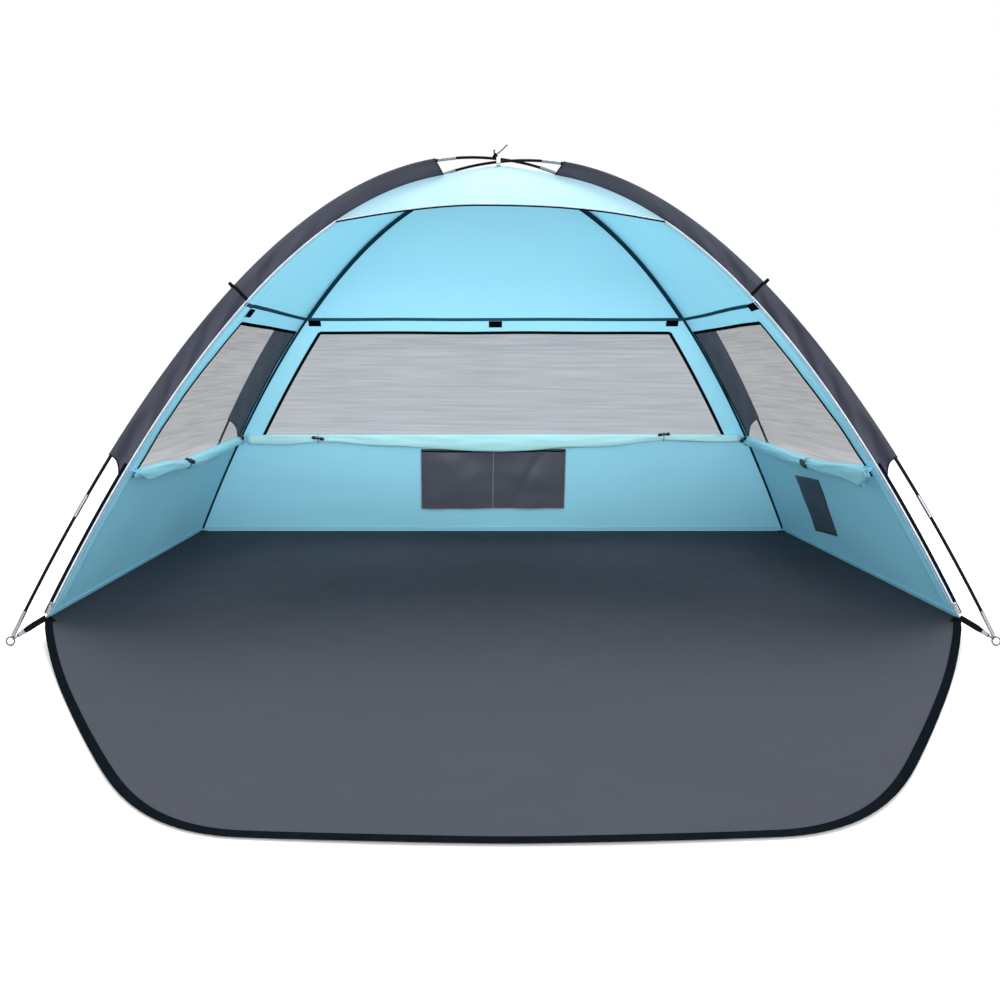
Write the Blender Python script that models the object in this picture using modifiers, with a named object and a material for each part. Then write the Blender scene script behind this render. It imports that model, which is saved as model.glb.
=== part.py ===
"""Two-pole dome beach shelter with a zip-up front floor panel.

Units are metres and +Z is up. The origin is on the ground under the apex, the doorway faces -Y
and +X is to the right of someone who looks in. Two sprung poles cross over the apex along the
diagonals of the floor. The skin hangs from four ridges below them, in fabric sleeves.
"""

import math

import bmesh
import bpy
from mathutils import Matrix, Vector

# Driving dimensions: floor plan and skin
FLOOR_WIDTH = 2.40
FLOOR_DEPTH = 1.40
CANOPY_HEIGHT = 1.29
RIDGE_POWER = {-1: 2.10, 1: 1.94}  # fullness of the front and back ridges; 2 is a parabola
PEAK_RISE = 0.024  # the tie draws the apex up by this much
PEAK_REACH = 0.16  # share of a ridge that the peak takes up
SIDE_TILT = 0.020  # the side walls' seams and windows are this much lower at the doorway
CORNER_LIFT = 0.055  # front floor corners, pulled up by their straps
LIFT_REACH = 0.35  # how far in from the side edge the floor is lifted
FOLD_SETBACK = 0.30  # the lifted front edge stands back by this share of its height
FABRIC = 0.0015
FLOOR_THICKNESS = 0.002
APEX_T = 0.012  # where the roof panels start, as a share of the way from apex to corner
SEAM_T = 0.574  # seam between roof and walls
SKIRT_T = 0.999  # lower edge of the walls
BROW_MIDDLE_T = 0.338  # lower edge of the front roof panel, at its middle and its ends
BROW_END_T = 0.400
BROW_POWER = 2.5
GAP = 0.0003  # clearance between pieces that touch

# Windows, as shares across (-1 to 1) and down (0 apex to 1 floor) their wall
WINDOW_TOP_T = 0.6055
BACK_WINDOW = {"bottom": 0.822, "top_edges": (-0.885, 0.885), "bottom_edges": (-0.91, 0.91)}
SIDE_WINDOW = {"bottom": 0.833, "top_edges": (-0.745, 0.93), "bottom_edges": (-0.845, 0.94)}
MESH_THICKNESS = 0.0008

# Poles
CROSSING_HEIGHT = 1.33
POLE_FOOT = 1.479  # plan distance from the centre to where the pole's curve meets the ground
POLE_POWER = 2.10  # fullness of the pole's curve; 2 is a parabola
POLE_TIP_HEIGHT = 0.0247
SECTIONS = 11
POLE_RADIUS = 0.00425
BORE_RADIUS = 0.0023
FERRULE_RADIUS = 0.0051
FERRULE_HALF = 0.0325
TIP_FERRULE = 0.070
CORD_RADIUS = 0.00125
POLE_SIDES = 8

# Sleeves
SLEEVE_TOP = 0.228  # arc lengths from the crest
SLEEVE_FOOT = 1.537
SLEEVE_OUTER = 0.0105
SLEEVE_INNER = 0.0090
SLEEVE_STATIONS = 11
SLEEVE_SIDES = 10

# Ring pins and corner straps
RING_MAJOR = 0.01025
RING_WIRE = 0.00175
SHANK_RADIUS = 0.0018
SHANK_IN_POLE = 0.040
RING_DROP = 0.0145  # from the pole's tip to the ring's centre
STRAP_WIDTH = 0.020
STRAP_THICKNESS = 0.0016
STRAP_LOOP_WIDTH = 0.005
STRAP_NECK = 0.0225  # from the ring's wire to the full width of the webbing
STRAP_LOOP_OUTER = 0.0065
STRAP_LOOP_INNER = 0.0046
STRAP_END_GAP = 0.004
STRAP_HEIGHT = {-1: CORNER_LIFT + 0.004, 1: 0.0125}

# Door panel, its zip sliders and their pull tabs
DOOR_LENGTH = 1.00
DOOR_HALF_WIDTH = 1.185
DOOR_GAP = 0.0025  # from the fold line to the panel, and from the floor to the fold line
SLIDER_T = 0.985
SLIDER_CHORD_T = 0.930
SLIDER_STAND_OFF = 0.0085
SLIDER_SIZE = (0.009, 0.0045, 0.013)
BAIL_MAJOR = 0.0026
BAIL_WIRE = 0.0006
PULL_WIDTH = 0.0065
PULL_LENGTH = 0.026
PULL_THICKNESS = 0.0010
PULL_BAR = 0.0005
PULL_WINDOW = (0.0022, 0.0042)

# Rolled window flaps
ROLL_RADIUS = 0.017
ROLL_STAND_OFF = 0.022
ROLLS = {
    "back": {"span": (-0.92, 0.92), "end_t": 0.822, "middle_t": 0.836, "points": 9},
    "left": {"span": (-0.86, 0.88), "end_t": 0.827, "middle_t": 0.837, "points": 7},
    "right": {"span": (-0.86, 0.88), "end_t": 0.827, "middle_t": 0.837, "points": 7},
}

# Pocket on the back wall
POCKET_WIDTH = 0.58
POCKET_DEPTH = 0.018
POCKET_TOP_T = 0.860
POCKET_BOTTOM_T = 0.957
POCKET_WALL = 0.002
POCKET_STAND_OFF = 0.004

# Tie round the crossing of the poles
TIE_WIDTH = 0.012
TIE_TAPE = 0.0012
TIE_HALF_LOOP = 0.0095
TIE_FOOT = 0.016

CORNERS = {
    "front_left": (-1, -1),
    "front_right": (1, -1),
    "back_left": (-1, 1),
    "back_right": (1, 1),
}
SIDES = {
    "front": ("front_left", "front_right"),
    "back": ("back_left", "back_right"),
    "left": ("front_left", "back_left"),
    "right": ("front_right", "back_right"),
}
POLE_RISE = POLE_RADIUS + GAP / 2
POLES = {
    "a": ("front_left", "back_right", CROSSING_HEIGHT + POLE_RISE),
    "b": ("back_left", "front_right", CROSSING_HEIGHT - POLE_RISE),
}
PALETTE = {
    "canopy": ((0.27, 0.62, 0.80), 0.62, 0.0),
    "floor": ((0.075, 0.080, 0.100), 0.55, 0.0),
    "mesh": ((0.45, 0.48, 0.50), 0.75, 0.0),
    "sleeve": ((0.080, 0.085, 0.120), 0.60, 0.0),
    "pocket": ((0.050, 0.055, 0.065), 0.65, 0.0),
    "webbing": ((0.015, 0.015, 0.017), 0.80, 0.0),
    "tie": ((0.85, 0.85, 0.85), 0.75, 0.0),
    "pole": ((0.012, 0.012, 0.014), 0.35, 0.0),
    "cord": ((0.75, 0.75, 0.76), 0.80, 0.0),
    "steel": ((0.70, 0.70, 0.72), 0.28, 1.0),
    "zip": ((0.62, 0.63, 0.65), 0.35, 1.0),
}


# ---- Scene and objects ---------------------------------------------------------------------


def new_collection(name):
    collection = bpy.data.collections.new(name)
    bpy.context.scene.collection.children.link(collection)
    return collection


def clear_scene():
    for obj in list(bpy.data.objects):
        bpy.data.objects.remove(obj, do_unlink=True)


def paint(obj, kind):
    """Give an object its own Principled material in one of the palette's finishes."""
    colour, roughness, metallic = PALETTE[kind]
    material = bpy.data.materials.new(obj.name)
    material.use_nodes = True
    shader = material.node_tree.nodes["Principled BSDF"]
    shader.inputs["Base Color"].default_value = (*colour, 1.0)
    shader.inputs["Roughness"].default_value = roughness
    shader.inputs["Metallic"].default_value = metallic
    obj.data.materials.append(material)


def add_object(name, data, kind, frame=None):
    obj = bpy.data.objects.new(name, data)
    if frame is not None:
        obj.matrix_world = frame
    parts.objects.link(obj)
    paint(obj, kind)
    return obj


def add_cutter(name, data, frame):
    obj = bpy.data.objects.new(name, data)
    obj.matrix_world = frame
    obj.hide_render = True
    obj.display_type = "WIRE"
    cutters.objects.link(obj)
    return obj


def cut(obj, cutter, operation):
    modifier = obj.modifiers.new(cutter.name, "BOOLEAN")
    modifier.operation = operation
    modifier.object = cutter


def frame_from(origin, x_axis, y_axis):
    """A matrix with the given origin and axes, the third axis completing a right-handed set."""
    z_axis = x_axis.cross(y_axis).normalized()
    rotation = Matrix((x_axis.normalized(), y_axis.normalized(), z_axis)).transposed()
    return Matrix.Translation(origin) @ rotation.to_4x4()


def square_to(vector, axis):
    """The part of a vector that is square to an axis, as a unit vector."""
    return (vector - vector.dot(axis) * axis).normalized()


def box_mesh(name, low, high):
    low, high = Vector(low), Vector(high)
    bm = bmesh.new()
    bmesh.ops.create_cube(bm, size=1.0)
    for vert in bm.verts:
        vert.co = Vector(low[i] + (vert.co[i] + 0.5) * (high[i] - low[i]) for i in range(3))
    return finished_mesh(name, bm)


def rod_mesh(name, radius, start, end, sides=16):
    """A cylinder along local Z, from start to end."""
    bm = bmesh.new()
    place = Matrix.Translation((0.0, 0.0, (start + end) / 2))
    bmesh.ops.create_cone(bm, cap_ends=True, segments=sides, radius1=radius, radius2=radius,
                          depth=end - start, matrix=place)
    return finished_mesh(name, bm)


def finished_mesh(name, bm, smooth=False):
    mesh = bpy.data.meshes.new(name)
    bm.to_mesh(mesh)
    bm.free()
    if smooth:
        mesh.shade_smooth()
        mesh.set_sharp_from_angle(angle=math.radians(50))
    return mesh


def torus_mesh(name, major, minor, around, across):
    """A ring round local Z."""
    bpy.ops.mesh.primitive_torus_add(major_radius=major, minor_radius=minor,
                                     major_segments=around, minor_segments=across)
    made = bpy.context.active_object
    mesh = made.data
    mesh.name = name
    bpy.data.objects.remove(made)
    mesh.shade_smooth()
    return mesh


def sheet(name, kind, rows, thickness, open_cells=()):
    """A fabric panel: rows of points joined into a surface, thickened about its middle."""
    bm = bmesh.new()
    grid = [[bm.verts.new(point) for point in row] for row in rows]
    for i in range(len(rows) - 1):
        for j in range(len(rows[0]) - 1):
            if (i, j) not in open_cells:
                bm.faces.new((grid[i][j], grid[i][j + 1], grid[i + 1][j + 1], grid[i + 1][j]))
    loose = [vert for vert in bm.verts if not vert.link_faces]
    bmesh.ops.delete(bm, geom=loose, context="VERTS")
    obj = add_object(name, finished_mesh(name, bm), kind)
    solidify = obj.modifiers.new("thickness", "SOLIDIFY")
    solidify.thickness = thickness
    solidify.offset = 0.0
    return obj


def loft_through(name, kind, rings):
    """A tube with a bore: rings run down its outside and back up the bore, and then close."""
    bm = bmesh.new()
    loops = [[bm.verts.new(point) for point in ring] for ring in rings]
    count = len(loops[0])
    for here, there in zip(loops, loops[1:] + loops[:1]):
        for k in range(count):
            after = (k + 1) % count
            bm.faces.new((here[k], here[after], there[after], there[k]))
    bmesh.ops.recalc_face_normals(bm, faces=bm.faces)
    return add_object(name, finished_mesh(name, bm, smooth=True), kind)


# ---- The skin's shape ----------------------------------------------------------------------


def ridge(corner, t):
    """A point on a ridge: t is 0 at the apex and 1 at the floor corner."""
    across, back = CORNERS[corner]
    lift = CORNER_LIFT if back < 0 else 0.0
    peak = PEAK_RISE * max(0.0, 1.0 - t / PEAK_REACH) ** 1.5
    height = CANOPY_HEIGHT * (1.0 - t ** RIDGE_POWER[back]) + lift * t * t + peak
    return Vector((across * FLOOR_WIDTH / 2 * t, back * FLOOR_DEPTH / 2 * t, height))


def skin(side, u, t):
    """A point on one side of the dome, ruled between its two ridges."""
    start, end = SIDES[side]
    return ridge(start, t).lerp(ridge(end, t), (u + 1.0) / 2.0)


def level(side, u, t):
    """The height share that a seam or window keeps to across its wall, given its rear value."""
    if side in ("front", "back"):
        return t
    fade = min(1.0, t / 0.5, (1.0 - t) / 0.14)
    return t + SIDE_TILT * fade * (1.0 - u) / 2.0


def inward(side, u, t, step=0.01):
    """The unit normal of a side, pointing into the shelter."""
    along = skin(side, u + step, t) - skin(side, u - step, t)
    down = skin(side, u, t + step) - skin(side, u, t - step)
    normal = along.cross(down).normalized()
    towards_centre = Vector((0.0, 0.0, 0.3)) - skin(side, u, t)
    return normal if normal.dot(towards_centre) > 0 else -normal


def side_inset(side, t):
    """How far a panel's edge stays from the ridge, as a share of its half width."""
    length, inset = (FLOOR_WIDTH, 0.0030) if side in ("front", "back") else (FLOOR_DEPTH, 0.0020)
    return 2.0 * inset / (length * t)


def floor_height(x, y):
    """The floor lies flat, apart from its side edges, which rise towards the front corners."""
    from_edge = max(0.0, 1.0 - (FLOOR_WIDTH / 2 - abs(x)) / LIFT_REACH)
    forward = (FLOOR_DEPTH / 2 - y) / FLOOR_DEPTH
    return CORNER_LIFT * forward * from_edge ** 2


def window_edges(window, t):
    """The window's two side edges at a height, as shares across the wall."""
    share = (t - WINDOW_TOP_T) / (window["bottom"] - WINDOW_TOP_T)
    share = min(1.0, max(0.0, share))
    return [top + (bottom - top) * share
            for top, bottom in zip(window["top_edges"], window["bottom_edges"])]


def spaced(start, end, count):
    return [start + (end - start) * k / (count - 1) for k in range(count)]


# ---- Fabric --------------------------------------------------------------------------------


def make_floor():
    half = FLOOR_WIDTH / 2
    rise = [half - LIFT_REACH * share for share in (0.0, 0.2, 0.45, 0.7, 1.0)]
    columns = [-x for x in rise] + [0.0] + rise[::-1]
    middle = FLOOR_THICKNESS / 2
    rows = []
    for share in spaced(0.0, 1.0, 5):
        row = []
        for x in columns:
            front = DOOR_GAP + FOLD_SETBACK * floor_height(x, -FLOOR_DEPTH / 2)
            y = FLOOR_DEPTH * (share - 0.5) + front * (1.0 - share)
            row.append(Vector((x, y, floor_height(x, y) + middle)))
        rows.append(row)
    sheet("floor", "floor", rows, FLOOR_THICKNESS)


def make_door_panel():
    """The front floor panel: wide at the fold line, with rounded outer corners."""
    half_outline = [
        # point, handle before, handle after
        ((DOOR_HALF_WIDTH, DOOR_GAP), (1.10, DOOR_GAP), (1.132, 0.155)),
        ((0.781, 0.69), (0.935, 0.46), (0.678, 0.845)),
        ((0.43, DOOR_LENGTH - 0.020), (0.585, DOOR_LENGTH - 0.032), (0.30, DOOR_LENGTH - 0.010)),
        ((0.0, DOOR_LENGTH), (0.15, DOOR_LENGTH), (-0.15, DOOR_LENGTH)),
    ]
    mirrored = [((-p[0], p[1]), (-after[0], after[1]), (-before[0], before[1]))
                for p, before, after in reversed(half_outline[:-1])]
    curve = bpy.data.curves.new("door_panel", "CURVE")
    curve.dimensions = "2D"
    curve.fill_mode = "BOTH"
    curve.extrude = FLOOR_THICKNESS / 2
    curve.resolution_u = 5
    spline = curve.splines.new("BEZIER")
    spline.use_cyclic_u = True
    outline = half_outline + mirrored
    spline.bezier_points.add(len(outline) - 1)
    for knot, (point, before, after) in zip(spline.bezier_points, outline):
        knot.handle_left_type = knot.handle_right_type = "FREE"
        knot.co = (point[0], -point[1], 0.0)
        knot.handle_left = (before[0], -before[1], 0.0)
        knot.handle_right = (after[0], -after[1], 0.0)
    fold_line = Matrix.Translation((0.0, -FLOOR_DEPTH / 2, FLOOR_THICKNESS / 2))
    add_object("door_panel", curve, "floor", fold_line)


def make_wall(side, window):
    """A wall with its window opening, from the roof seam down to the floor."""
    below = spaced(window["bottom"], SKIRT_T, 4)
    beside = spaced(WINDOW_TOP_T, window["bottom"], 5)
    seam_gap = GAP / CANOPY_HEIGHT
    heights = [SEAM_T + seam_gap] + beside + below[1:]
    rows = []
    for t in heights:
        edge = 1.0 - side_inset(side, t)
        left, right = window_edges(window, t)
        columns = [-edge, left, (left + right) / 2, right, edge]
        rows.append([skin(side, u, level(side, u, t)) for u in columns])
    opening = {(i, j) for i in range(1, len(beside)) for j in (1, 2)}
    sheet(f"{side}_wall", "canopy", rows, FABRIC, opening)


def make_window_mesh(side, window):
    """The mesh that fills a window, just clear of the opening's edge."""
    inset_t = 0.0006
    inset_u = 0.0015
    rows = []
    for t in spaced(WINDOW_TOP_T + inset_t, window["bottom"] - inset_t, 5):
        left, right = window_edges(window, t)
        columns = [left + inset_u, (left + right) / 2, right - inset_u]
        rows.append([skin(side, u, level(side, u, t)) for u in columns])
    sheet(f"{side}_mesh", "mesh", rows, MESH_THICKNESS)


def make_roof(side):
    """A roof panel, from the apex to the wall seam, or to the brow over the doorway."""
    rows = []
    for share in (0.0, 0.07, 0.15, 0.27, 0.42, 0.6, 0.8, 1.0):
        row = []
        for place in (-1.0, -0.5, 0.0, 0.5, 1.0):
            foot = SEAM_T - GAP / CANOPY_HEIGHT
            if side == "front":
                foot = BROW_MIDDLE_T + (BROW_END_T - BROW_MIDDLE_T) * abs(place) ** BROW_POWER
            t = APEX_T + (foot - APEX_T) * share
            u = place * (1.0 - side_inset(side, t))
            row.append(skin(side, u, level(side, u, t)))
        rows.append(row)
    sheet(f"roof_{side}", "canopy", rows, FABRIC)


def roll_path(side):
    """The centreline of a rolled window flap, which sags between its ends."""
    roll = ROLLS[side]
    start, end = roll["span"]
    path = []
    for share in spaced(0.0, 1.0, roll["points"]):
        u = start + (end - start) * share
        sag = math.sin(math.pi * share)
        t = level(side, u, roll["end_t"] + (roll["middle_t"] - roll["end_t"]) * sag)
        path.append(skin(side, u, t) + inward(side, u, t) * ROLL_STAND_OFF)
    return path


def make_roll(side, window):
    """A flap rolled down to the lower edge of its window. Its origin is on the stitching."""
    edge = level(side, 0.0, window["bottom"])
    stitching = skin(side, 0.0, edge) + inward(side, 0.0, edge) * FABRIC
    curve = bpy.data.curves.new(f"roll_{side}", "CURVE")
    curve.dimensions = "3D"
    curve.bevel_depth = ROLL_RADIUS
    curve.bevel_resolution = 2
    curve.use_fill_caps = True
    path = roll_path(side)
    spline = curve.splines.new("POLY")
    spline.points.add(len(path) - 1)
    for knot, point in zip(spline.points, path):
        knot.co = (*(point - stitching), 1.0)
    add_object(f"roll_{side}", curve, "canopy", Matrix.Translation(stitching))


def make_pocket():
    """Two compartments side by side, open at the top, on the inside of the back wall."""
    top, bottom = skin("back", 0.0, POCKET_TOP_T), skin("back", 0.0, POCKET_BOTTOM_T)
    up = top - bottom
    height = up.length
    up.normalize()
    inside = square_to(Vector((0.0, -1.0, 0.0)), up)
    frame = frame_from(bottom + inside * POCKET_STAND_OFF, Vector((1.0, 0.0, 0.0)), -inside)
    half = POCKET_WIDTH / 2
    shell = box_mesh("pocket", (-half, -POCKET_DEPTH, 0.0), (half, 0.0, height))
    pocket = add_object("pocket", shell, "pocket", frame)
    for name, sign in (("left", -1.0), ("right", 1.0)):
        near, far = sorted((sign * POCKET_WALL / 2, sign * (half - POCKET_WALL)))
        space = box_mesh(f"pocket_space_{name}",
                         (near, -POCKET_DEPTH + POCKET_WALL, POCKET_WALL),
                         (far, -POCKET_WALL, height + 0.01))
        cut(pocket, add_cutter(f"pocket_space_{name}", space, frame), "DIFFERENCE")


# ---- Poles and sleeves ---------------------------------------------------------------------


def pole_fall(reach, crest):
    """How steeply a pole falls at a plan distance from its crest."""
    return POLE_POWER * crest / POLE_FOOT * (reach / POLE_FOOT) ** (POLE_POWER - 1.0)


def arc_length(reach, crest, steps=24):
    """The length of a pole from its crest out to a plan distance, by Simpson's rule."""
    total = 0.0
    for k in range(steps + 1):
        weight = 1.0 if k in (0, steps) else 2.0 + 2.0 * (k % 2)
        total += weight * math.hypot(1.0, pole_fall(reach * k / steps, crest))
    return total * reach / steps / 3.0


def reach_at(arc, crest):
    """The plan distance at an arc length from the crest, by Newton's method."""
    reach = 0.7 * arc
    for _ in range(10):
        error = arc_length(reach, crest) - arc
        reach -= error / math.hypot(1.0, pole_fall(reach, crest))
    return reach


def pole_frame(pole, arc):
    """The centre, direction, outward normal and sideways direction of a pole at an arc length."""
    _, end, crest = POLES[pole]
    plan = Vector((CORNERS[end][0] * FLOOR_WIDTH, CORNERS[end][1] * FLOOR_DEPTH, 0.0)).normalized()
    reach = reach_at(abs(arc), crest)
    slope = math.copysign(pole_fall(reach, crest), -arc)
    height = crest * (1.0 - (reach / POLE_FOOT) ** POLE_POWER)
    centre = plan * math.copysign(reach, arc) + Vector((0.0, 0.0, height))
    along = (plan + Vector((0.0, 0.0, slope))).normalized()
    normal = (Vector((0.0, 0.0, 1.0)) - plan * slope).normalized()
    return centre, along, normal, along.cross(normal)


def half_pole(pole):
    crest = POLES[pole][2]
    return arc_length(POLE_FOOT * (1.0 - POLE_TIP_HEIGHT / crest) ** (1.0 / POLE_POWER), crest)


def section_length(pole):
    return 2.0 * half_pole(pole) / SECTIONS


def ring_round(pole, arc, radius, sides=POLE_SIDES):
    centre, _, normal, side = pole_frame(pole, arc)
    turns = [2.0 * math.pi * (k + 0.5) / sides for k in range(sides)]
    return [centre + radius * (math.cos(a) * normal + math.sin(a) * side) for a in turns]


def section_bends(number, length):
    """The arc lengths where a section's straight facets meet, between its two joints."""
    shares = (0.25, 0.5, 0.75) if number == 0 else (1 / 3, 2 / 3)
    start, span = (number - 0.5) * length + FERRULE_HALF, length - 2 * FERRULE_HALF
    return [start + span * share for share in shares]


def section_profile(number, length):
    """Arc length and radius round one section: down its outside, then back up its bore.

    Section 0 is over the crossing. Every other one carries a ferrule at its inner end, which
    slides over the end of its neighbour, and the last one carries a second ferrule at its tip.
    """
    inner, outer = (number - 0.5) * length, (number + 0.5) * length
    bends = section_bends(number, length)
    socket = POLE_RADIUS + GAP
    if number == 0:
        outside = [(inner + GAP, POLE_RADIUS), (inner + FERRULE_HALF, POLE_RADIUS)]
        bore = [(inner + FERRULE_HALF, BORE_RADIUS), (inner + GAP, BORE_RADIUS)]
    else:
        outside = [(inner - FERRULE_HALF, FERRULE_RADIUS), (inner, FERRULE_RADIUS),
                   (inner + FERRULE_HALF, FERRULE_RADIUS), (inner + FERRULE_HALF, POLE_RADIUS)]
        bore = [(inner + FERRULE_HALF, BORE_RADIUS), (inner, BORE_RADIUS), (inner, socket),
                (inner - FERRULE_HALF, socket)]
    outside += [(arc, POLE_RADIUS) for arc in bends]
    bore = [(arc, BORE_RADIUS) for arc in reversed(bends)] + bore
    if number == SECTIONS // 2:
        outside += [(outer - TIP_FERRULE, POLE_RADIUS), (outer - TIP_FERRULE, FERRULE_RADIUS),
                    (outer, FERRULE_RADIUS)]
        bore = [(outer, BORE_RADIUS), (outer - TIP_FERRULE, BORE_RADIUS)] + bore
    else:
        outside += [(outer - FERRULE_HALF, POLE_RADIUS), (outer - GAP, POLE_RADIUS)]
        bore = [(outer - GAP, BORE_RADIUS), (outer - FERRULE_HALF, BORE_RADIUS)] + bore
    return outside + bore


def make_poles():
    """Eleven sections to a pole, numbered from the pole's left-hand tip."""
    half = SECTIONS // 2
    for pole in POLES:
        length = section_length(pole)
        for number in range(-half, half + 1):
            turn = -1.0 if number < 0 else 1.0
            profile = section_profile(abs(number), length)
            rings = [ring_round(pole, turn * arc, radius) for arc, radius in profile]
            loft_through(f"pole_{pole}_section_{number + half + 1:02d}", "pole", rings)


def make_shock_cords():
    """The elastic cord inside each pole, from one ring pin to the other."""
    for pole in POLES:
        length = section_length(pole)
        stations = []
        for number in range(SECTIONS // 2 + 1):
            stations.append((number - 0.5) * length + FERRULE_HALF)
            stations += section_bends(number, length)
            stations.append((number + 0.5) * length - FERRULE_HALF)
        end = half_pole(pole) - SHANK_IN_POLE - 0.002
        outer = [arc for arc in stations if GAP < arc < end - FERRULE_HALF] + [end]
        curve = bpy.data.curves.new(f"shock_cord_{pole}", "CURVE")
        curve.dimensions = "3D"
        curve.bevel_depth = CORD_RADIUS
        curve.bevel_resolution = 2
        curve.use_fill_caps = True
        arcs = [-arc for arc in reversed(outer)] + [0.0] + outer
        spline = curve.splines.new("POLY")
        spline.points.add(len(arcs) - 1)
        for knot, arc in zip(spline.points, arcs):
            knot.co = (*pole_frame(pole, arc)[0], 1.0)
        add_object(f"shock_cord_{pole}", curve, "cord")


def pole_end(corner):
    """The pole that ends over a floor corner, and the sign of its arc lengths there."""
    for pole, (start, end, _) in POLES.items():
        if corner == end:
            return pole, 1.0
        if corner == start:
            return pole, -1.0
    return None


def drop_to_ridge(corner, centre, normal):
    """The distance from a pole's centre to the ridge below it, square to the pole."""
    near, far = 0.0, 0.2
    half_diagonal = math.hypot(FLOOR_WIDTH, FLOOR_DEPTH) / 2
    for _ in range(40):
        middle = (near + far) / 2
        point = centre - normal * middle
        t = math.hypot(point.x, point.y) / half_diagonal
        if point.z > ridge(corner, t).z:
            near = middle
        else:
            far = middle
    return near


def make_sleeve(corner):
    """A fabric channel round the pole, drawn in to a fin that is sewn along the ridge."""
    pole, sign = pole_end(corner)
    fin_half = 0.0015
    fin_gap = 0.0045
    outside, bore = [], []
    for arc in spaced(SLEEVE_TOP, SLEEVE_FOOT, SLEEVE_STATIONS):
        centre, _, normal, side = pole_frame(pole, sign * arc)
        drop = drop_to_ridge(corner, centre, normal) - fin_gap
        turns = [math.pi / 2 + 2 * math.pi * (k + 0.5) / SLEEVE_SIDES for k in range(SLEEVE_SIDES)]
        ring = [centre + SLEEVE_OUTER * (math.sin(a) * normal + math.cos(a) * side) for a in turns]
        for k in (SLEEVE_SIDES // 2 - 1, SLEEVE_SIDES // 2):
            lean = math.copysign(fin_half, math.cos(turns[k]))
            ring[k] = centre - drop * normal + lean * side
        outside.append(ring)
        bore.append([centre + SLEEVE_INNER * (math.sin(a) * normal + math.cos(a) * side)
                     for a in turns])
    loft_through(f"sleeve_{corner}", "sleeve", outside + bore[::-1])


# ---- Ends of the poles ---------------------------------------------------------------------


def ring_pin_frame(corner):
    """Local Z runs up the pole from the ring's centre, and local Y is square to the ring."""
    pole, sign = pole_end(corner)
    tip = pole_frame(pole, sign * half_pole(pole))[0]
    outward = (tip - pole_frame(pole, sign * (half_pole(pole) - TIP_FERRULE))[0]).normalized()
    facing = square_to(Vector((0.0, -1.0, 0.0)), outward)
    x_axis = facing.cross(-outward)
    return frame_from(tip + outward * RING_DROP, x_axis, facing)


def make_ring_pin(corner):
    """A wire ring on a shank that pushes into the end of the pole."""
    frame = ring_pin_frame(corner)
    name = f"ring_pin_{corner}"
    upright = frame @ Matrix.Rotation(math.pi / 2, 4, "X")
    ring = torus_mesh(f"{name}_ring", RING_MAJOR, RING_WIRE, 16, 6)
    shank = rod_mesh(name, SHANK_RADIUS, RING_MAJOR, RING_DROP + SHANK_IN_POLE, 8)
    pin = add_object(name, shank, "steel", frame)
    cut(pin, add_cutter(f"{name}_ring", ring, upright), "UNION")


def make_strap(corner):
    """Webbing from the floor corner, gathered to a narrow loop round the wire of the ring."""
    across, back = CORNERS[corner]
    frame = ring_pin_frame(corner)
    centre = frame.translation
    square = frame.to_3x3().col[1].copy()
    sewn = Vector((across * FLOOR_WIDTH / 2, back * FLOOR_DEPTH / 2, STRAP_HEIGHT[back]))
    towards = square_to(sewn - centre, square)
    hold = centre + towards * RING_MAJOR
    length = (sewn - hold).length - STRAP_END_GAP
    strap_frame = frame_from(hold, sewn - hold, square.cross(towards))
    half = STRAP_THICKNESS / 2
    name = f"strap_{corner}"
    web = box_mesh(name, (STRAP_NECK, -STRAP_WIDTH / 2, -half), (length, STRAP_WIDTH / 2, half))
    strap = add_object(name, web, "webbing", strap_frame)
    neck = box_mesh(f"{name}_neck", (STRAP_LOOP_INNER + 0.0005, -STRAP_LOOP_WIDTH / 2, -half * 0.9),
                    (STRAP_NECK + 0.002, STRAP_LOOP_WIDTH / 2, half * 0.9))
    cut(strap, add_cutter(f"{name}_neck", neck, strap_frame), "UNION")
    lying = strap_frame @ Matrix.Rotation(math.pi / 2, 4, "X")
    loop = rod_mesh(f"{name}_loop", STRAP_LOOP_OUTER, -STRAP_LOOP_WIDTH / 2, STRAP_LOOP_WIDTH / 2)
    eye = rod_mesh(f"{name}_eye", STRAP_LOOP_INNER, -STRAP_WIDTH, STRAP_WIDTH)
    cut(strap, add_cutter(f"{name}_loop", loop, lying), "UNION")
    cut(strap, add_cutter(f"{name}_eye", eye, lying), "DIFFERENCE")


# ---- Door zip ------------------------------------------------------------------------------


def slider_frame(corner):
    """Local Z runs up the zip and local -Y faces out of the doorway."""
    start, end = ridge(corner, SLIDER_T), ridge(corner, SLIDER_CHORD_T)
    up = (end - start).normalized()
    facing = square_to(Vector((0.0, -1.0, 0.0)), up)
    return frame_from(start + facing * SLIDER_STAND_OFF, (-facing).cross(up), -facing)


def make_zip_slider(side):
    """A slider body with a bail on its face, which holds the pull tab."""
    frame = slider_frame(f"front_{side}")
    width, depth, length = SLIDER_SIZE
    name = f"zip_slider_{side}"
    body = box_mesh(name, (-width / 2, -depth / 2, -length / 2), (width / 2, depth / 2, length / 2))
    slider = add_object(name, body, "zip", frame)
    bevel = slider.modifiers.new("edges", "BEVEL")
    bevel.width = 0.0008
    bevel.segments = 1
    bail = torus_mesh(f"{name}_bail", BAIL_MAJOR, BAIL_WIRE, 12, 6)
    face = frame @ Matrix.Translation((0.0, -depth / 2, 0.0)) @ Matrix.Rotation(math.pi / 2, 4, "Y")
    cut(slider, add_cutter(f"{name}_bail", bail, face), "UNION")


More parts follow.
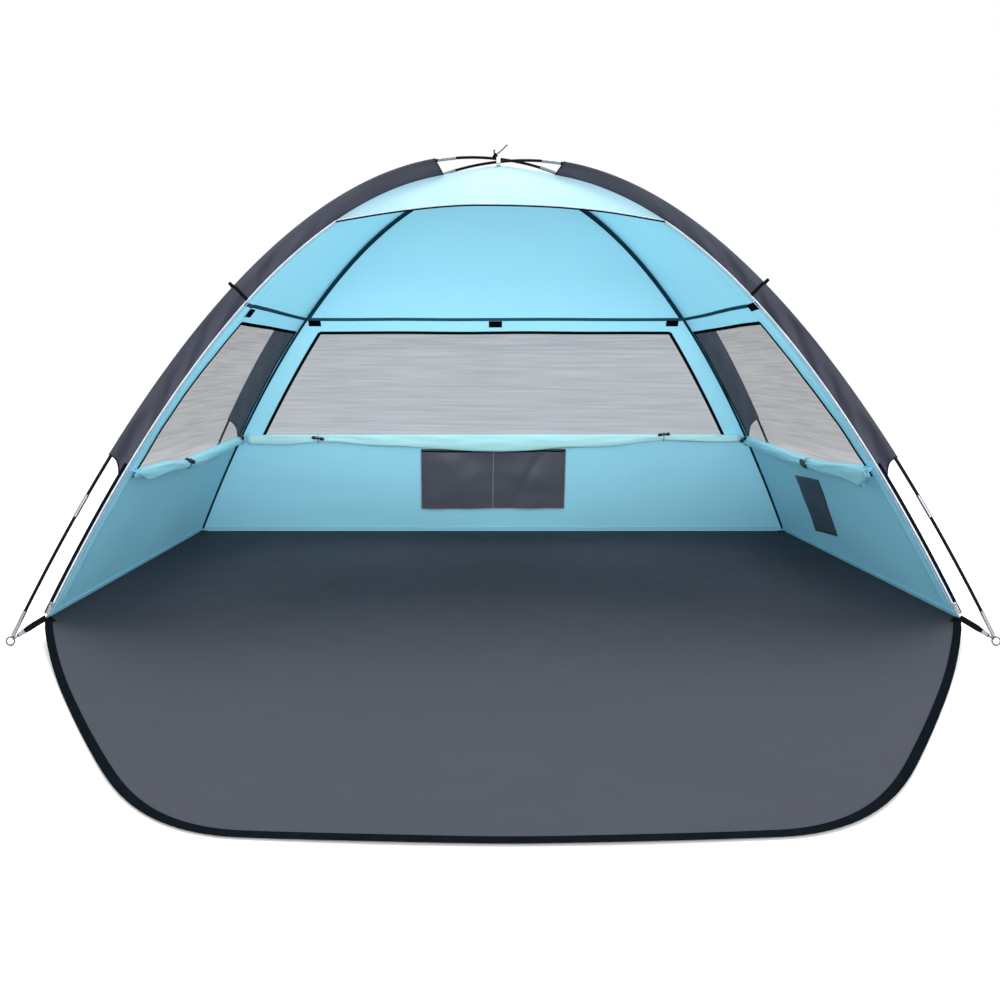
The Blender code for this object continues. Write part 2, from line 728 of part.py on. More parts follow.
def make_zip_pull(side):
    """A tab whose top bar runs through the bail. Its origin is on that bar."""
    depth = SLIDER_SIZE[1]
    lay = Matrix.Translation((0.0, -depth / 2 - 2 * PULL_BAR, 0.0))
    frame = slider_frame(f"front_{side}") @ lay
    name = f"zip_pull_{side}"
    half = PULL_THICKNESS / 2
    tab = box_mesh(name, (-PULL_WIDTH / 2, -half, -PULL_LENGTH), (PULL_WIDTH / 2, half, PULL_BAR))
    pull = add_object(name, tab, "zip", frame)
    reach, depth = PULL_WINDOW
    window = box_mesh(f"{name}_window", (-reach, -0.01, -depth), (reach, 0.01, -PULL_BAR))
    cut(pull, add_cutter(f"{name}_window", window, frame), "DIFFERENCE")


# ---- Apex ----------------------------------------------------------------------------------


def make_apex_tie():
    """A tape sewn to the apex, with a loop round both poles where they cross."""
    low = CROSSING_HEIGHT - 2 * POLE_RISE - 0.0008
    high = CROSSING_HEIGHT + 2 * POLE_RISE + 0.0008
    foot = ridge("front_left", APEX_T).z + FABRIC / 2 + GAP
    half, tape = TIE_HALF_LOOP, TIE_TAPE
    outline = [
        (-TIE_FOOT, foot), (TIE_FOOT, foot), (TIE_FOOT, foot + tape), (tape, foot + tape),
        (tape, low - tape), (half + tape, low - tape), (half + tape, high + tape),
        (-half - tape, high + tape), (-half - tape, low - tape), (-tape, low - tape),
        (-tape, foot + tape), (-TIE_FOOT, foot + tape),
    ]
    opening = [(-half, low), (-half, high), (half, high), (half, low)]
    curve = bpy.data.curves.new("apex_tie", "CURVE")
    curve.dimensions = "2D"
    curve.fill_mode = "BOTH"
    curve.extrude = TIE_WIDTH / 2
    for points in (outline, opening):
        spline = curve.splines.new("POLY")
        spline.use_cyclic_u = True
        spline.points.add(len(points) - 1)
        for knot, (y, z) in zip(spline.points, points):
            knot.co = (y, z, 0.0, 1.0)
    upright = frame_from(Vector((0.0, 0.0, 0.0)), Vector((0.0, 1.0, 0.0)), Vector((0.0, 0.0, 1.0)))
    add_object("apex_tie", curve, "tie", upright)


# ---- Assembly ------------------------------------------------------------------------------

clear_scene()
parts = new_collection("beach_shelter")
cutters = new_collection("cutters")

make_floor()
make_door_panel()
for wall_side in ("back", "left", "right"):
    wall_window = BACK_WINDOW if wall_side == "back" else SIDE_WINDOW
    make_wall(wall_side, wall_window)
    make_window_mesh(wall_side, wall_window)
    make_roll(wall_side, wall_window)
for roof_side in SIDES:
    make_roof(roof_side)
make_pocket()
make_poles()
make_shock_cords()
for pole_corner in CORNERS:
    make_sleeve(pole_corner)
    make_ring_pin(pole_corner)
    make_strap(pole_corner)
for zip_side in ("left", "right"):
    make_zip_slider(zip_side)
    make_zip_pull(zip_side)
make_apex_tie()
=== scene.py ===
"""Looks of a two-pole dome beach shelter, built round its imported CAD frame.

Units are metres in the CAD's frame: +Z is up and the doorway faces -Y. The skin's four gores, the
floor, the mesh windows and the sleeves are single sheets shaped by the same formulas as the CAD.
A place on a wall is (u, t): u runs across it from -1 to 1, and t down it from the apex at 0 to
the floor at 1.
"""

import math

import bmesh
import bpy
from mathutils import Matrix, Vector, noise


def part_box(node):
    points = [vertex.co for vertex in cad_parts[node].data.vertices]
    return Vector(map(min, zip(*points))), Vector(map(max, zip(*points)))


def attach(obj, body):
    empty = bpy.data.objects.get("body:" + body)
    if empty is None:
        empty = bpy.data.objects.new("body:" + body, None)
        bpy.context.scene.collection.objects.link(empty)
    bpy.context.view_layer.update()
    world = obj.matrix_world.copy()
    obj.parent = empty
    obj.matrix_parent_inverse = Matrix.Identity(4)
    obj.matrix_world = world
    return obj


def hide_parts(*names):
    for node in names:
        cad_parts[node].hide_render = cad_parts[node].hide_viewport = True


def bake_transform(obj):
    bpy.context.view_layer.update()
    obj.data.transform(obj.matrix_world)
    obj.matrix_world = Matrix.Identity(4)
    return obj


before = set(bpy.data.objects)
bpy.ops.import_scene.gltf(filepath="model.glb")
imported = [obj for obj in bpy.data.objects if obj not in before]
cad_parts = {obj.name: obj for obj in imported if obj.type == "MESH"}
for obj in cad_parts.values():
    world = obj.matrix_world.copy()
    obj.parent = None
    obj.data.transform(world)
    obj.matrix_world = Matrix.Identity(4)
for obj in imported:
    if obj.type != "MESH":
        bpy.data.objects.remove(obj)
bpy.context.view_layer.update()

SCENE = bpy.context.scene
UP = Vector((0.0, 0.0, 1.0))
FORWARD = Vector((0.0, -1.0, 0.0))

# Driving dimensions, the same as the CAD's
FLOOR_WIDTH = 2.40
FLOOR_DEPTH = 1.40
CANOPY_HEIGHT = 1.29
RIDGE_POWER = {-1: 2.10, 1: 1.94}
PEAK_RISE = 0.024
PEAK_REACH = 0.16
SIDE_TILT = 0.020
CORNER_LIFT = 0.055
LIFT_REACH = 0.35
SKIN_TOP_T = 0.004
HEM_T = 0.994
SEAM_T = 0.574
SKIRT_T = 0.9995
BROW_MIDDLE_T = 0.338
BROW_END_T = 0.400
BROW_POWER = 2.5
WINDOW_TOP_T = 0.6055
WINDOWS = {
    "back": {"bottom": 0.822, "top_edges": (-0.885, 0.885), "bottom_edges": (-0.91, 0.91)},
    "left": {"bottom": 0.833, "top_edges": (-0.745, 0.93), "bottom_edges": (-0.845, 0.94)},
    "right": {"bottom": 0.833, "top_edges": (-0.745, 0.93), "bottom_edges": (-0.845, 0.94)},
}
DOOR_LENGTH = 1.00
CROSSING_HEIGHT = 1.33
POLE_FOOT = 1.479
POLE_POWER = 2.10
POLE_TIP_HEIGHT = 0.0247
SECTIONS = 11
POLE_RADIUS = 0.00425
POLE_RISE = POLE_RADIUS + 0.00015
FERRULE_RADIUS = 0.0051
FERRULE_HALF = 0.0325
TIP_FERRULE = 0.070
SLEEVE_TOP = 0.228
SLEEVE_FOOT = 1.537
SLEEVE_FIT = 0.0062
GUY_ARC = {-1: 0.974, 1: 0.950}
GUY_FIT = 0.0082
FLAP_THICKNESS = 0.0005
SLEEVE_THICKNESS = 0.0006
PATCH_THICKNESS = 0.0008
CORNER_PATCH_THICKNESS = 0.0010
STITCH_RADIUS = 0.0014
BROW_PIPING_RADIUS = 0.0022
DOOR_PIPING_RADIUS = 0.0023
ZIP_COIL_RADIUS = 0.0013
SEAM_HALF_WIDTH = 0.0060
HEM_HALF_WIDTH = 0.0030
WINDOW_BINDING_HALF_WIDTH = 0.0058
DOOR_BINDING_HALF_WIDTH = 0.0092
TAPE_TOP_T = 0.83
RING_MAJOR = 0.01025
RING_WIRE = 0.0022
RING_DROP = 0.0145
ROLLS = {
    # ends and slant across the wall; top edge and half height at places across it
    "back": {
        "ends": (-0.965, 0.965), "slant": 0.0, "toggles": ((-0.69, 20.0), (0.67, 75.0)),
        "top": ((-0.965, 0.8165), (0.965, 0.8165)),
        "half": ((-0.965, 0.0200), (-0.84, 0.0220), (-0.69, 0.0155), (-0.40, 0.0260), (0.0, 0.0370),
                 (0.40, 0.0270), (0.67, 0.0115), (0.82, 0.0155), (0.965, 0.0150)),
    },
    "left": {
        "ends": (-0.955, 0.955), "slant": 0.26, "toggles": ((-0.146, 40.0), (0.86, 60.0)),
        "top": ((-0.955, 0.8172), (-0.50, 0.8205), (-0.146, 0.8280), (0.955, 0.8178)),
        "half": ((-0.955, 0.0265), (-0.55, 0.0175), (-0.146, 0.0130), (0.15, 0.0160),
                 (0.50, 0.0140), (0.86, 0.0110), (0.955, 0.0115)),
    },
    "right": {
        "ends": (-0.935, 0.955), "slant": 0.15, "toggles": ((-0.146, 20.0), (0.88, 30.0)),
        "top": ((-0.935, 0.8150), (-0.146, 0.8270), (0.955, 0.8170)),
        "half": ((-0.935, 0.0400), (-0.55, 0.0225), (-0.146, 0.0150), (0.15, 0.0200),
                 (0.60, 0.0190), (0.88, 0.0165), (0.955, 0.0160)),
    },
}
ROLL_STAND_OFF = 0.022
ROLL_TURNS = 3.5
ROLL_POINTS_PER_TURN = 28
ROLL_SEWN_AT = math.radians(150.0)
WALL_FALL = {"back": 2.26, "left": 2.46, "right": 2.46}
TOGGLE_TILT = {"back": 0.16, "left": 0.45, "right": 0.45}
POCKET_HALF = 0.285
POCKET_TOP_T = 0.852
POCKET_BOTTOM_T = 0.958

CORNERS = {
    "front_left": (-1, -1),
    "front_right": (1, -1),
    "back_left": (-1, 1),
    "back_right": (1, 1),
}
SIDES = {
    "front": ("front_left", "front_right"),
    "back": ("back_left", "back_right"),
    "left": ("front_left", "back_left"),
    "right": ("front_right", "back_right"),
}
WALL_WIDTH = {"back": FLOOR_WIDTH, "left": FLOOR_DEPTH, "right": FLOOR_DEPTH}
POLES = {
    "a": ("front_left", "back_right", CROSSING_HEIGHT + POLE_RISE),
    "b": ("back_left", "front_right", CROSSING_HEIGHT - POLE_RISE),
}


# ---- The shelter's shape ----


def ridge(corner, t):
    """A point on a ridge: t is 0 at the apex and 1 at the floor corner."""
    across, back = CORNERS[corner]
    lift = CORNER_LIFT if back < 0 else 0.0
    peak = PEAK_RISE * max(0.0, 1.0 - abs(t) / PEAK_REACH) ** 1.5
    height = CANOPY_HEIGHT * (1.0 - abs(t) ** RIDGE_POWER[back]) + lift * t * t + peak
    return Vector((across * FLOOR_WIDTH / 2 * t, back * FLOOR_DEPTH / 2 * t, height))


def skin(side, u, t):
    """A point on one side of the dome, ruled between its two ridges."""
    start, end = SIDES[side]
    return ridge(start, t).lerp(ridge(end, t), (u + 1.0) / 2.0)


def level(side, u, t):
    """The height share that a seam or window keeps to across its wall, given its rear value."""
    if side in ("front", "back"):
        return t
    fade = max(0.0, min(1.0, t / 0.5, (1.0 - t) / 0.14))
    return t + SIDE_TILT * fade * (1.0 - u) / 2.0


def inward(side, u, t, step=0.01):
    """The unit normal of a side, pointing into the shelter."""
    along = skin(side, u + step, t) - skin(side, u - step, t)
    down = skin(side, u, t + step) - skin(side, u, t - step)
    normal = along.cross(down).normalized()
    towards_centre = Vector((0.0, 0.0, 0.3)) - skin(side, u, t)
    return normal if normal.dot(towards_centre) > 0 else -normal


def smooth(low, high, value):
    """0 up to low, 1 from high, and a soft step between them."""
    share = min(1.0, max(0.0, (value - low) / (high - low)))
    return share * share * (3.0 - 2.0 * share)


def wander(x, y, z):
    """Smooth noise, about -0.6 to 0.6, at a place in its own space."""
    return noise.noise(Vector((x, y, z)))


def eased(knots, at):
    """A value that eases from knot to knot, where a knot is a place and the value there."""
    for (low, before), (high, after) in zip(knots, knots[1:]):
        if at <= high:
            return before + (after - before) * smooth(low, high, at)
    return knots[-1][1]


def relief(side, u, t):
    """How far the cloth stands in from the plain skin: slack between its seams, and creases."""
    held = smooth(0.0, 0.10, 1.0 - abs(u)) * smooth(0.02, 0.15, t) * smooth(0.0, 0.03, 1.0 - t)
    place = skin(side, u, t)
    slack = 0.006 * noise.noise(place * 2.6 + Vector((3.1, 0.7, 5.2)))
    creases = 0.0022 * wander(place.x * 5.0, place.y * 5.0, place.z * 14.0)
    drape = 0.0
    if side != "front" and t > 0.86:
        below = smooth(0.86, 0.90, t)
        pleats = math.sin(place.x * 31.0 + place.y * 24.0 + place.z * 18.0)
        drape = 0.0016 * below * pleats * noise.noise(place * 4.0 + Vector((9.0, 2.0, 4.0)))
    return held * (slack + creases + drape)


def hem_fold(side, u, t):
    """The crease where a side wall's front edge is folded back on itself, a hand's width in."""
    if side not in ("left", "right") or t < BROW_END_T:
        return 0.0
    from_edge = (u + 1.0) / 2.0 * FLOOR_DEPTH * t
    return 0.0055 * math.exp(-((from_edge - 0.062) / 0.016) ** 2) * smooth(BROW_END_T, 0.5, t)


def cloth(side, u, t, stand_off=0.0):
    """A point on the finished cloth, or the given distance in front of its inner face."""
    t = level(side, u, t)
    lift = relief(side, u, t) + hem_fold(side, u, t) * smooth(0.0, 0.02, 1.0 - t)
    return skin(side, u, t) + inward(side, u, t) * (lift + stand_off)


def floor_height(x, y):
    """The floor lies flat, apart from its side edges, which rise towards the front corners."""
    from_edge = max(0.0, 1.0 - (FLOOR_WIDTH / 2 - abs(x)) / LIFT_REACH)
    forward = min(1.0, (FLOOR_DEPTH / 2 - y) / FLOOR_DEPTH)
    return CORNER_LIFT * forward * from_edge ** 2


def window_edges(window, t):
    """The window's two side edges at a height, as shares across the wall."""
    share = min(1.0, max(0.0, (t - WINDOW_TOP_T) / (window["bottom"] - WINDOW_TOP_T)))
    return [top + (bottom - top) * share
            for top, bottom in zip(window["top_edges"], window["bottom_edges"])]


def spaced(start, end, count):
    return [start + (end - start) * k / (count - 1) for k in range(count)]


def shares(count):
    return spaced(0.0, 1.0, count)


def joined(*runs):
    """Runs of numbers laid end to end, each starting where the one before it ends."""
    return [value for k, run in enumerate(runs) for value in (run if k == 0 else run[1:])]


def pole_fall(reach, crest):
    """How steeply a pole falls at a plan distance from its crest."""
    return POLE_POWER * crest / POLE_FOOT * (reach / POLE_FOOT) ** (POLE_POWER - 1.0)


def arc_length(reach, crest, steps=24):
    """The length of a pole from its crest out to a plan distance, by Simpson's rule."""
    total = 0.0
    for k in range(steps + 1):
        weight = 1.0 if k in (0, steps) else 2.0 + 2.0 * (k % 2)
        total += weight * math.hypot(1.0, pole_fall(reach * k / steps, crest))
    return total * reach / steps / 3.0


def reach_at(arc, crest):
    """The plan distance at an arc length from the crest, by Newton's method."""
    reach = 0.7 * arc
    for _ in range(5):
        error = arc_length(reach, crest) - arc
        reach -= error / math.hypot(1.0, pole_fall(reach, crest))
    return reach


def pole_frame(pole, arc):
    """The centre, direction, outward normal and sideways direction of a pole at an arc length."""
    _, end, crest = POLES[pole]
    plan = Vector((CORNERS[end][0] * FLOOR_WIDTH, CORNERS[end][1] * FLOOR_DEPTH, 0.0)).normalized()
    reach = reach_at(abs(arc), crest)
    slope = math.copysign(pole_fall(reach, crest), -arc)
    height = crest * (1.0 - (reach / POLE_FOOT) ** POLE_POWER)
    centre = plan * math.copysign(reach, arc) + UP * height
    along = (plan + UP * slope).normalized()
    normal = (UP - plan * slope).normalized()
    return centre, along, normal, along.cross(normal)


def half_pole(pole):
    crest = POLES[pole][2]
    return arc_length(POLE_FOOT * (1.0 - POLE_TIP_HEIGHT / crest) ** (1.0 / POLE_POWER), crest)


def pole_end(corner):
    """The pole that ends over a floor corner, and the sign of its arc lengths there."""
    for pole, (start, end, _) in POLES.items():
        if corner == end:
            return pole, 1.0
        if corner == start:
            return pole, -1.0
    return None


def square_to(vector, axis):
    return (vector - vector.dot(axis) * axis).normalized()


def frame_from(origin, x_axis, y_axis):
    """A matrix with the given origin and axes, the third axis completing a right-handed set."""
    z_axis = x_axis.cross(y_axis).normalized()
    rotation = Matrix((x_axis.normalized(), y_axis.normalized(), z_axis)).transposed()
    return Matrix.Translation(origin) @ rotation.to_4x4()


def ring_pin_frame(corner):
    """Local Z runs up the pole from the ring's centre, and local Y is square to the ring."""
    pole, sign = pole_end(corner)
    half = half_pole(pole)
    tip = pole_frame(pole, sign * half)[0]
    outward = (tip - pole_frame(pole, sign * (half - TIP_FERRULE))[0]).normalized()
    facing = square_to(FORWARD, outward)
    return frame_from(tip + outward * RING_DROP, facing.cross(-outward), facing)


def drop_to_ridge(corner, centre, normal):
    """The distance from a pole's centre to the ridge below it, square to the pole."""
    near, far = 0.0, 0.2
    half_diagonal = math.hypot(FLOOR_WIDTH, FLOOR_DEPTH) / 2
    for _ in range(24):
        middle = (near + far) / 2
        point = centre - normal * middle
        t = math.hypot(point.x, point.y) / half_diagonal
        if point.z > ridge(corner, t).z:
            near = middle
        else:
            far = middle
    return near


# ---- Making meshes ----


def running_length(points):
    """The distance along a row of points, at each point."""
    lengths = [0.0]
    for here, there in zip(points, points[1:]):
        lengths.append(lengths[-1] + (there - here).length)
    return lengths


def directions(points):
    """The way a path runs at each of its points."""
    return [(after - before).normalized()
            for before, after in zip(points[:1] + points[:-1], points[1:] + points[-1:])]


def circle(centre, radius, first, second, sides):
    """Points round a centre, in the plane of two directions."""
    turns = [2.0 * math.pi * k / sides for k in range(sides)]
    return [centre + radius * (math.cos(a) * first + math.sin(a) * second) for a in turns]


def add_mesh(name, mesh, material):
    obj = bpy.data.objects.new(name, mesh)
    SCENE.collection.objects.link(obj)
    obj.data.materials.append(material)
    return obj


def face_outward(mesh, weld=0.0):
    """Outward normals on a closed mesh, once its points nearer than the weld are joined."""
    bm = bmesh.new()
    bm.from_mesh(mesh)
    if weld:
        bmesh.ops.remove_doubles(bm, verts=bm.verts, dist=weld)
    bmesh.ops.recalc_face_normals(bm, faces=bm.faces)
    bm.to_mesh(mesh)
    bm.free()


def surface(name, rows, material, wrap=False, caps=False, skip=None):
    """Rows of points joined into a skin, with a UV map in metres across and along the rows."""
    wide = len(rows[0])
    measured = [row + row[:1] if wrap else row for row in (rows[0], rows[len(rows) // 2])]
    across = max(map(running_length, measured), key=lambda lengths: lengths[-1])
    along = running_length([sum(row, Vector()) / wide for row in rows])
    faces, marks = [], []
    for i in range(len(rows) - 1):
        for k in range(wide if wrap else wide - 1):
            if skip and skip(i, k):
                continue
            after = (k + 1) % wide
            faces.append((i * wide + k, i * wide + after, (i + 1) * wide + after, (i + 1) * wide + k))
            marks += [(across[k], along[i]), (across[k + 1], along[i]),
                      (across[k + 1], along[i + 1]), (across[k], along[i + 1])]
    if caps:
        for i in (0, len(rows) - 1):
            faces.append([i * wide + k for k in range(wide)])
            marks += [(across[k], along[i]) for k in range(wide)]
    used = sorted({index for face in faces for index in face})
    renamed = {index: order for order, index in enumerate(used)}
    points = [point for row in rows for point in row]
    mesh = bpy.data.meshes.new(name)
    mesh.from_pydata([points[index] for index in used], [],
                     [[renamed[index] for index in face] for face in faces])
    layer = mesh.uv_layers.new(name="metres")
    layer.data.foreach_set("uv", [value for mark in marks for value in mark])
    if caps:
        face_outward(mesh)
    mesh.shade_smooth()
    if caps:
        mesh.set_sharp_from_angle(angle=math.radians(50))
    return add_mesh(name, mesh, material)


def tube(name, rings, material):
    """Rings of points joined into a closed body."""
    return surface(name, rings, material, wrap=True, caps=True)


def merged(name, pieces):
    """Several new meshes joined into one piece."""
    bpy.ops.object.select_all(action="DESELECT")
    for piece in pieces:
        piece.select_set(True)
    bpy.context.view_layer.objects.active = pieces[0]
    bpy.ops.object.join()
    pieces[0].name = name
    pieces[0].data.name = name
    return pieces[0]


def thicken(obj, thickness):
    modifier = obj.modifiers.new("thickness", "SOLIDIFY")
    modifier.thickness = thickness
    modifier.offset = 0.0
    return obj


# Cross sections of tapes, as shares of the half width and the half thickness
TAPE_SHAPE = ((-1.0, -0.4), (-0.9, -1.0), (-0.3, -1.0), (0.3, -1.0), (0.9, -1.0), (1.0, -0.4),
              (1.0, 0.4), (0.9, 1.0), (0.3, 1.0), (-0.3, 1.0), (-0.9, 1.0), (-1.0, 0.4))
STRAP_SHAPE = ((-1.0, -0.4), (-0.9, -1.0), (0.0, -1.0), (0.9, -1.0), (1.0, -0.4), (1.0, 0.4),
               (0.9, 1.0), (0.0, 1.0), (-0.9, 1.0), (-1.0, 0.4))
PULL_SHAPE = ((-1, -0.5), (-0.8, -1), (0.8, -1), (1, -0.5), (1, 0.5), (0.8, 1), (-0.8, 1), (-1, 0.5))


def one_each(size, count):
    """A size for each point, from one size or from a list of them."""
    return size if isinstance(size, list) else [size] * count


def strip(name, stations, half_width, half_thick, material, shape=TAPE_SHAPE):
    """A flat tape with rounded edges. A station is a point, the way across and the way up."""
    widths = one_each(half_width, len(stations))
    return tube(name, [[point + across * (width * a) + up * (half_thick * b) for a, b in shape]
                       for (point, across, up), width in zip(stations, widths)], material)


def facing_stations(points, facings):
    """Stations of a tape that faces its own way at each point."""
    return [(point, facing.cross(way), facing)
            for point, way, facing in zip(points, directions(points), facings)]


def wrapped_stations(points, across):
    """Stations of a tape that is bent round something, with its width always one way."""
    return [(point, across, way.cross(across).normalized())
            for point, way in zip(points, directions(points))]


def round_bar(name, points, radius, material, sides=12):
    """A round bar or cord along a path, turned as little as possible between its points."""
    ways = directions(points)
    up = square_to(UP if abs(ways[0].z) < 0.9 else Vector((0.0, 1.0, 0.0)), ways[0])
    rings = []
    for point, way, size in zip(points, ways, one_each(radius, len(points))):
        up = square_to(up, way)
        rings.append(circle(point, size, way.cross(up), up, sides))
    return tube(name, rings, material)


def wire_ring(name, centre, right, up, major, minor, material, around=24, sides=8):
    """A closed ring of round wire in the plane of two directions."""
    turns = [2.0 * math.pi * k / around for k in range(around + 1)]
    outs = [math.cos(a) * right + math.sin(a) * up for a in turns]
    rings = [circle(centre + out * major, minor, out, right.cross(up), sides) for out in outs]
    ring = surface(name, rings, material, wrap=True)
    face_outward(ring.data, weld=0.00002)
    return ring


def block(name, frame_matrix, size, material, bevel):
    """A box with rounded edges, centred on a frame."""
    bm = bmesh.new()
    bmesh.ops.create_cube(bm, size=1.0)
    bmesh.ops.scale(bm, vec=size, verts=bm.verts)
    bmesh.ops.bevel(bm, geom=bm.edges[:], offset=bevel, segments=3, affect="EDGES")
    bmesh.ops.transform(bm, matrix=frame_matrix, verts=bm.verts)
    mesh = bpy.data.meshes.new(name)
    bm.to_mesh(mesh)
    bm.free()
    mesh.shade_smooth()
    mesh.set_sharp_from_angle(angle=math.radians(35))
    layer = mesh.uv_layers.new(name="metres")
    corners = [mesh.vertices[loop.vertex_index].co for loop in mesh.loops]
    layer.data.foreach_set("uv", [value for co in corners for value in (co.x + co.y, co.z)])
    return add_mesh(name, mesh, material)


# ---- Materials ----


def shade(colour, factor):
    return tuple(min(1.0, channel * factor) for channel in colour)


class Nodes:
    """A material's node tree, with short calls for the nodes that the finishes share."""

    def __init__(self, name):
        self.material = bpy.data.materials.new(name)
        self.material.use_nodes = True
        self.tree = self.material.node_tree
        self.shader = self.tree.nodes["Principled BSDF"]

    def add(self, kind, links, values=None, **settings):
        """A node with its settings, its constant inputs and what is linked to its other inputs."""
        node = self.tree.nodes.new(kind)
        for key, value in settings.items():
            setattr(node, key, value)
        for socket, value in (values or {}).items():
            node.inputs[socket].default_value = value
        for socket, source in links.items():
            self.tree.links.new(source, node.inputs[socket])
        return node

    def place(self, source, scale=(1.0, 1.0, 1.0), turn=0.0):
        coordinates = self.add("ShaderNodeTexCoord", {})
        return self.add("ShaderNodeMapping", {"Vector": coordinates.outputs[source]},
                        {"Scale": scale, "Rotation": (0.0, 0.0, turn)}).outputs["Vector"]

    def noise(self, scale, stretch=(1.0, 1.0, 1.0), source="Object", detail=3.0, turn=0.0):
        return self.add("ShaderNodeTexNoise", {"Vector": self.place(source, stretch, turn)},
                        {"Scale": scale, "Detail": detail}).outputs["Fac"]

    def ranged(self, value, low, high):
        limits = {"From Min": 0.3, "From Max": 0.7, "To Min": low, "To Max": high}
        return self.add("ShaderNodeMapRange", {"Value": value}, limits).outputs["Result"]

    def mixed(self, factor, first, second):
        return self.add("ShaderNodeMix", {0: factor}, {6: (*first, 1.0), 7: (*second, 1.0)},
                        data_type="RGBA").outputs[2]

    def maths(self, operation, links, values=None):
        return self.add("ShaderNodeMath", links, values, operation=operation).outputs["Value"]

    def by_height(self, stops):
        """A number that changes with the height above the ground, from (height, number) stops."""
        split = self.add("ShaderNodeSeparateXYZ", {"Vector": self.place("Object")})
        ramp = self.add("ShaderNodeValToRGB", {"Fac": split.outputs["Z"]})
        elements = ramp.color_ramp.elements
        while len(elements) < len(stops):
            elements.new(0.5)
        for element, (height, number) in zip(elements, stops):
            element.position = height
            element.color = (number, number, number, 1.0)
        return ramp.outputs["Color"]

    def threads(self, spacing):
        """The height of a plain weave: warp and weft threads at a spacing, as two waves."""
        waves = [self.add("ShaderNodeTexWave", {"Vector": self.place("UV")},
                          {"Scale": 0.314 / spacing, "Distortion": 0.6}, bands_direction=direction)
                 for direction in ("X", "Y")]
        return self.maths("MAXIMUM", {k: wave.outputs["Fac"] for k, wave in enumerate(waves)})

    def link(self, source, socket):
        self.tree.links.new(source, self.shader.inputs[socket])

    def tone(self, colour, scale, dark, light, **where):
        """Clouds of a darker and a lighter shade in the base colour."""
        cloud = self.noise(scale, **where)
        if where:
            cloud = self.ranged(cloud, 0.0, 1.0)
        mixed = self.mixed(cloud, shade(colour, dark), shade(colour, light))
        self.link(mixed, "Base Color")
        return mixed

    def rough(self, scale, low, high):
        self.link(self.ranged(self.noise(scale), low, high), "Roughness")

    def bump(self, height, distance, strength=0.6):
        normal = self.add("ShaderNodeBump", {"Height": height},
                          {"Distance": distance, "Strength": strength}).outputs["Normal"]
        self.link(normal, "Normal")
        return normal

    def set(self, **numbers):
        for socket, number in numbers.items():
            self.shader.inputs[socket.replace("_", " ")].default_value = number

    def layered(self, factor, first, second):
        """The material's surface as a mix of two shaders."""
        mix = self.add("ShaderNodeMixShader", {0: factor, 1: first.outputs["BSDF"],
                                               2: second.outputs["BSDF"]})
        self.tree.links.new(mix.outputs["Shader"],
                            self.tree.nodes["Material Output"].inputs["Surface"])


def cloth_material(name, colour, rough=(0.50, 0.68), sheen=0.05, through=(), gloss=0.35, painted_crease_shade=0.0):
    """Coated woven cloth: threads, faint slubs and cloudy tone, and light passing through it.

    The crease shade is painted shade and light: slanting dark and light bands in the colour that stand in
    for the shading of creases in pulled cloth.
    """
    nodes = Nodes(name)
    # Slanting bands of painted shade and light, standing in for the shading of creases
    if painted_crease_shade:
        tone = nodes.tone(colour, 7.0, 1.0 - painted_crease_shade, 1.0 + painted_crease_shade, stretch=(1.0, 0.16, 1.0),
                          source="UV", turn=0.55)
    else:
        tone = nodes.tone(colour, 2.3, 0.95, 1.05)
    nodes.rough(9.0, *rough)
    slubs = nodes.noise(140.0, (1.0, 6.0, 1.0), "UV")
    normal = nodes.bump(nodes.maths("ADD", {0: nodes.threads(0.0016), 1: slubs}), 0.00018)
    nodes.set(Sheen_Weight=sheen, Sheen_Roughness=0.45, Specular_IOR_Level=gloss)
    # The share of light let through changes with height, less low down: a painted shade that darkens the
    # walls towards the floor.
    if through:
        glow = nodes.add("ShaderNodeBsdfTranslucent", {"Color": tone, "Normal": normal})
        nodes.layered(nodes.by_height(through), nodes.shader, glow)
    return nodes.material


def mesh_material(name, colour, cover):
    """Knitted mesh: dark yarn over part of it, in uneven courses, and nothing between."""
    nodes = Nodes(name)
    nodes.tone(colour, 5.0, 0.8, 1.25)
    nodes.set(Roughness=0.75)
    courses = nodes.noise(90.0, (0.035, 1.0, 1.0), "UV", detail=4.0)
    yarn = nodes.threads(0.0035)
    nodes.bump(yarn, 0.0003)
    knit = nodes.maths("MULTIPLY_ADD", {0: yarn, 2: nodes.ranged(courses, *cover)}, {1: 0.10})
    nodes.layered(knit, nodes.add("ShaderNodeBsdfTransparent", {}), nodes.shader)
    return nodes.material


def plain_material(name, colour, tone, rough, grain, depth, **numbers):
    """A clouded colour and roughness under a fine relief of threads or noise.

    Tone is a noise scale and the two shades, rough a noise scale and its range, and grain the
    thread spacing, or a noise's scale, stretch and space. Depth is the relief's and its strength.
    """
    nodes = Nodes(name)
    nodes.tone(colour, *tone)
    nodes.rough(*rough)
    nodes.bump(nodes.noise(*grain) if isinstance(grain, tuple) else nodes.threads(grain), *depth)
    nodes.set(**numbers)
    return nodes.material


def tape_material(name, colour, rib=0.0022):
    """Woven tape or webbing: strong cross ribs and no gloss."""
    return plain_material(name, colour, (60.0, 0.7, 1.5), (80.0, 0.65, 0.85), rib, (0.0004, 0.9),
                          Specular_IOR_Level=0.0)


def metal_material(name, colour):
    """Plated metal with fine drawn lines and a few duller patches."""
    return plain_material(name, colour, (70.0, 0.86, 1.05), (120.0, 0.18, 0.36),
                          (900.0, (1.0, 1.0, 0.1)), (0.00005, 0.4), Metallic=1.0)
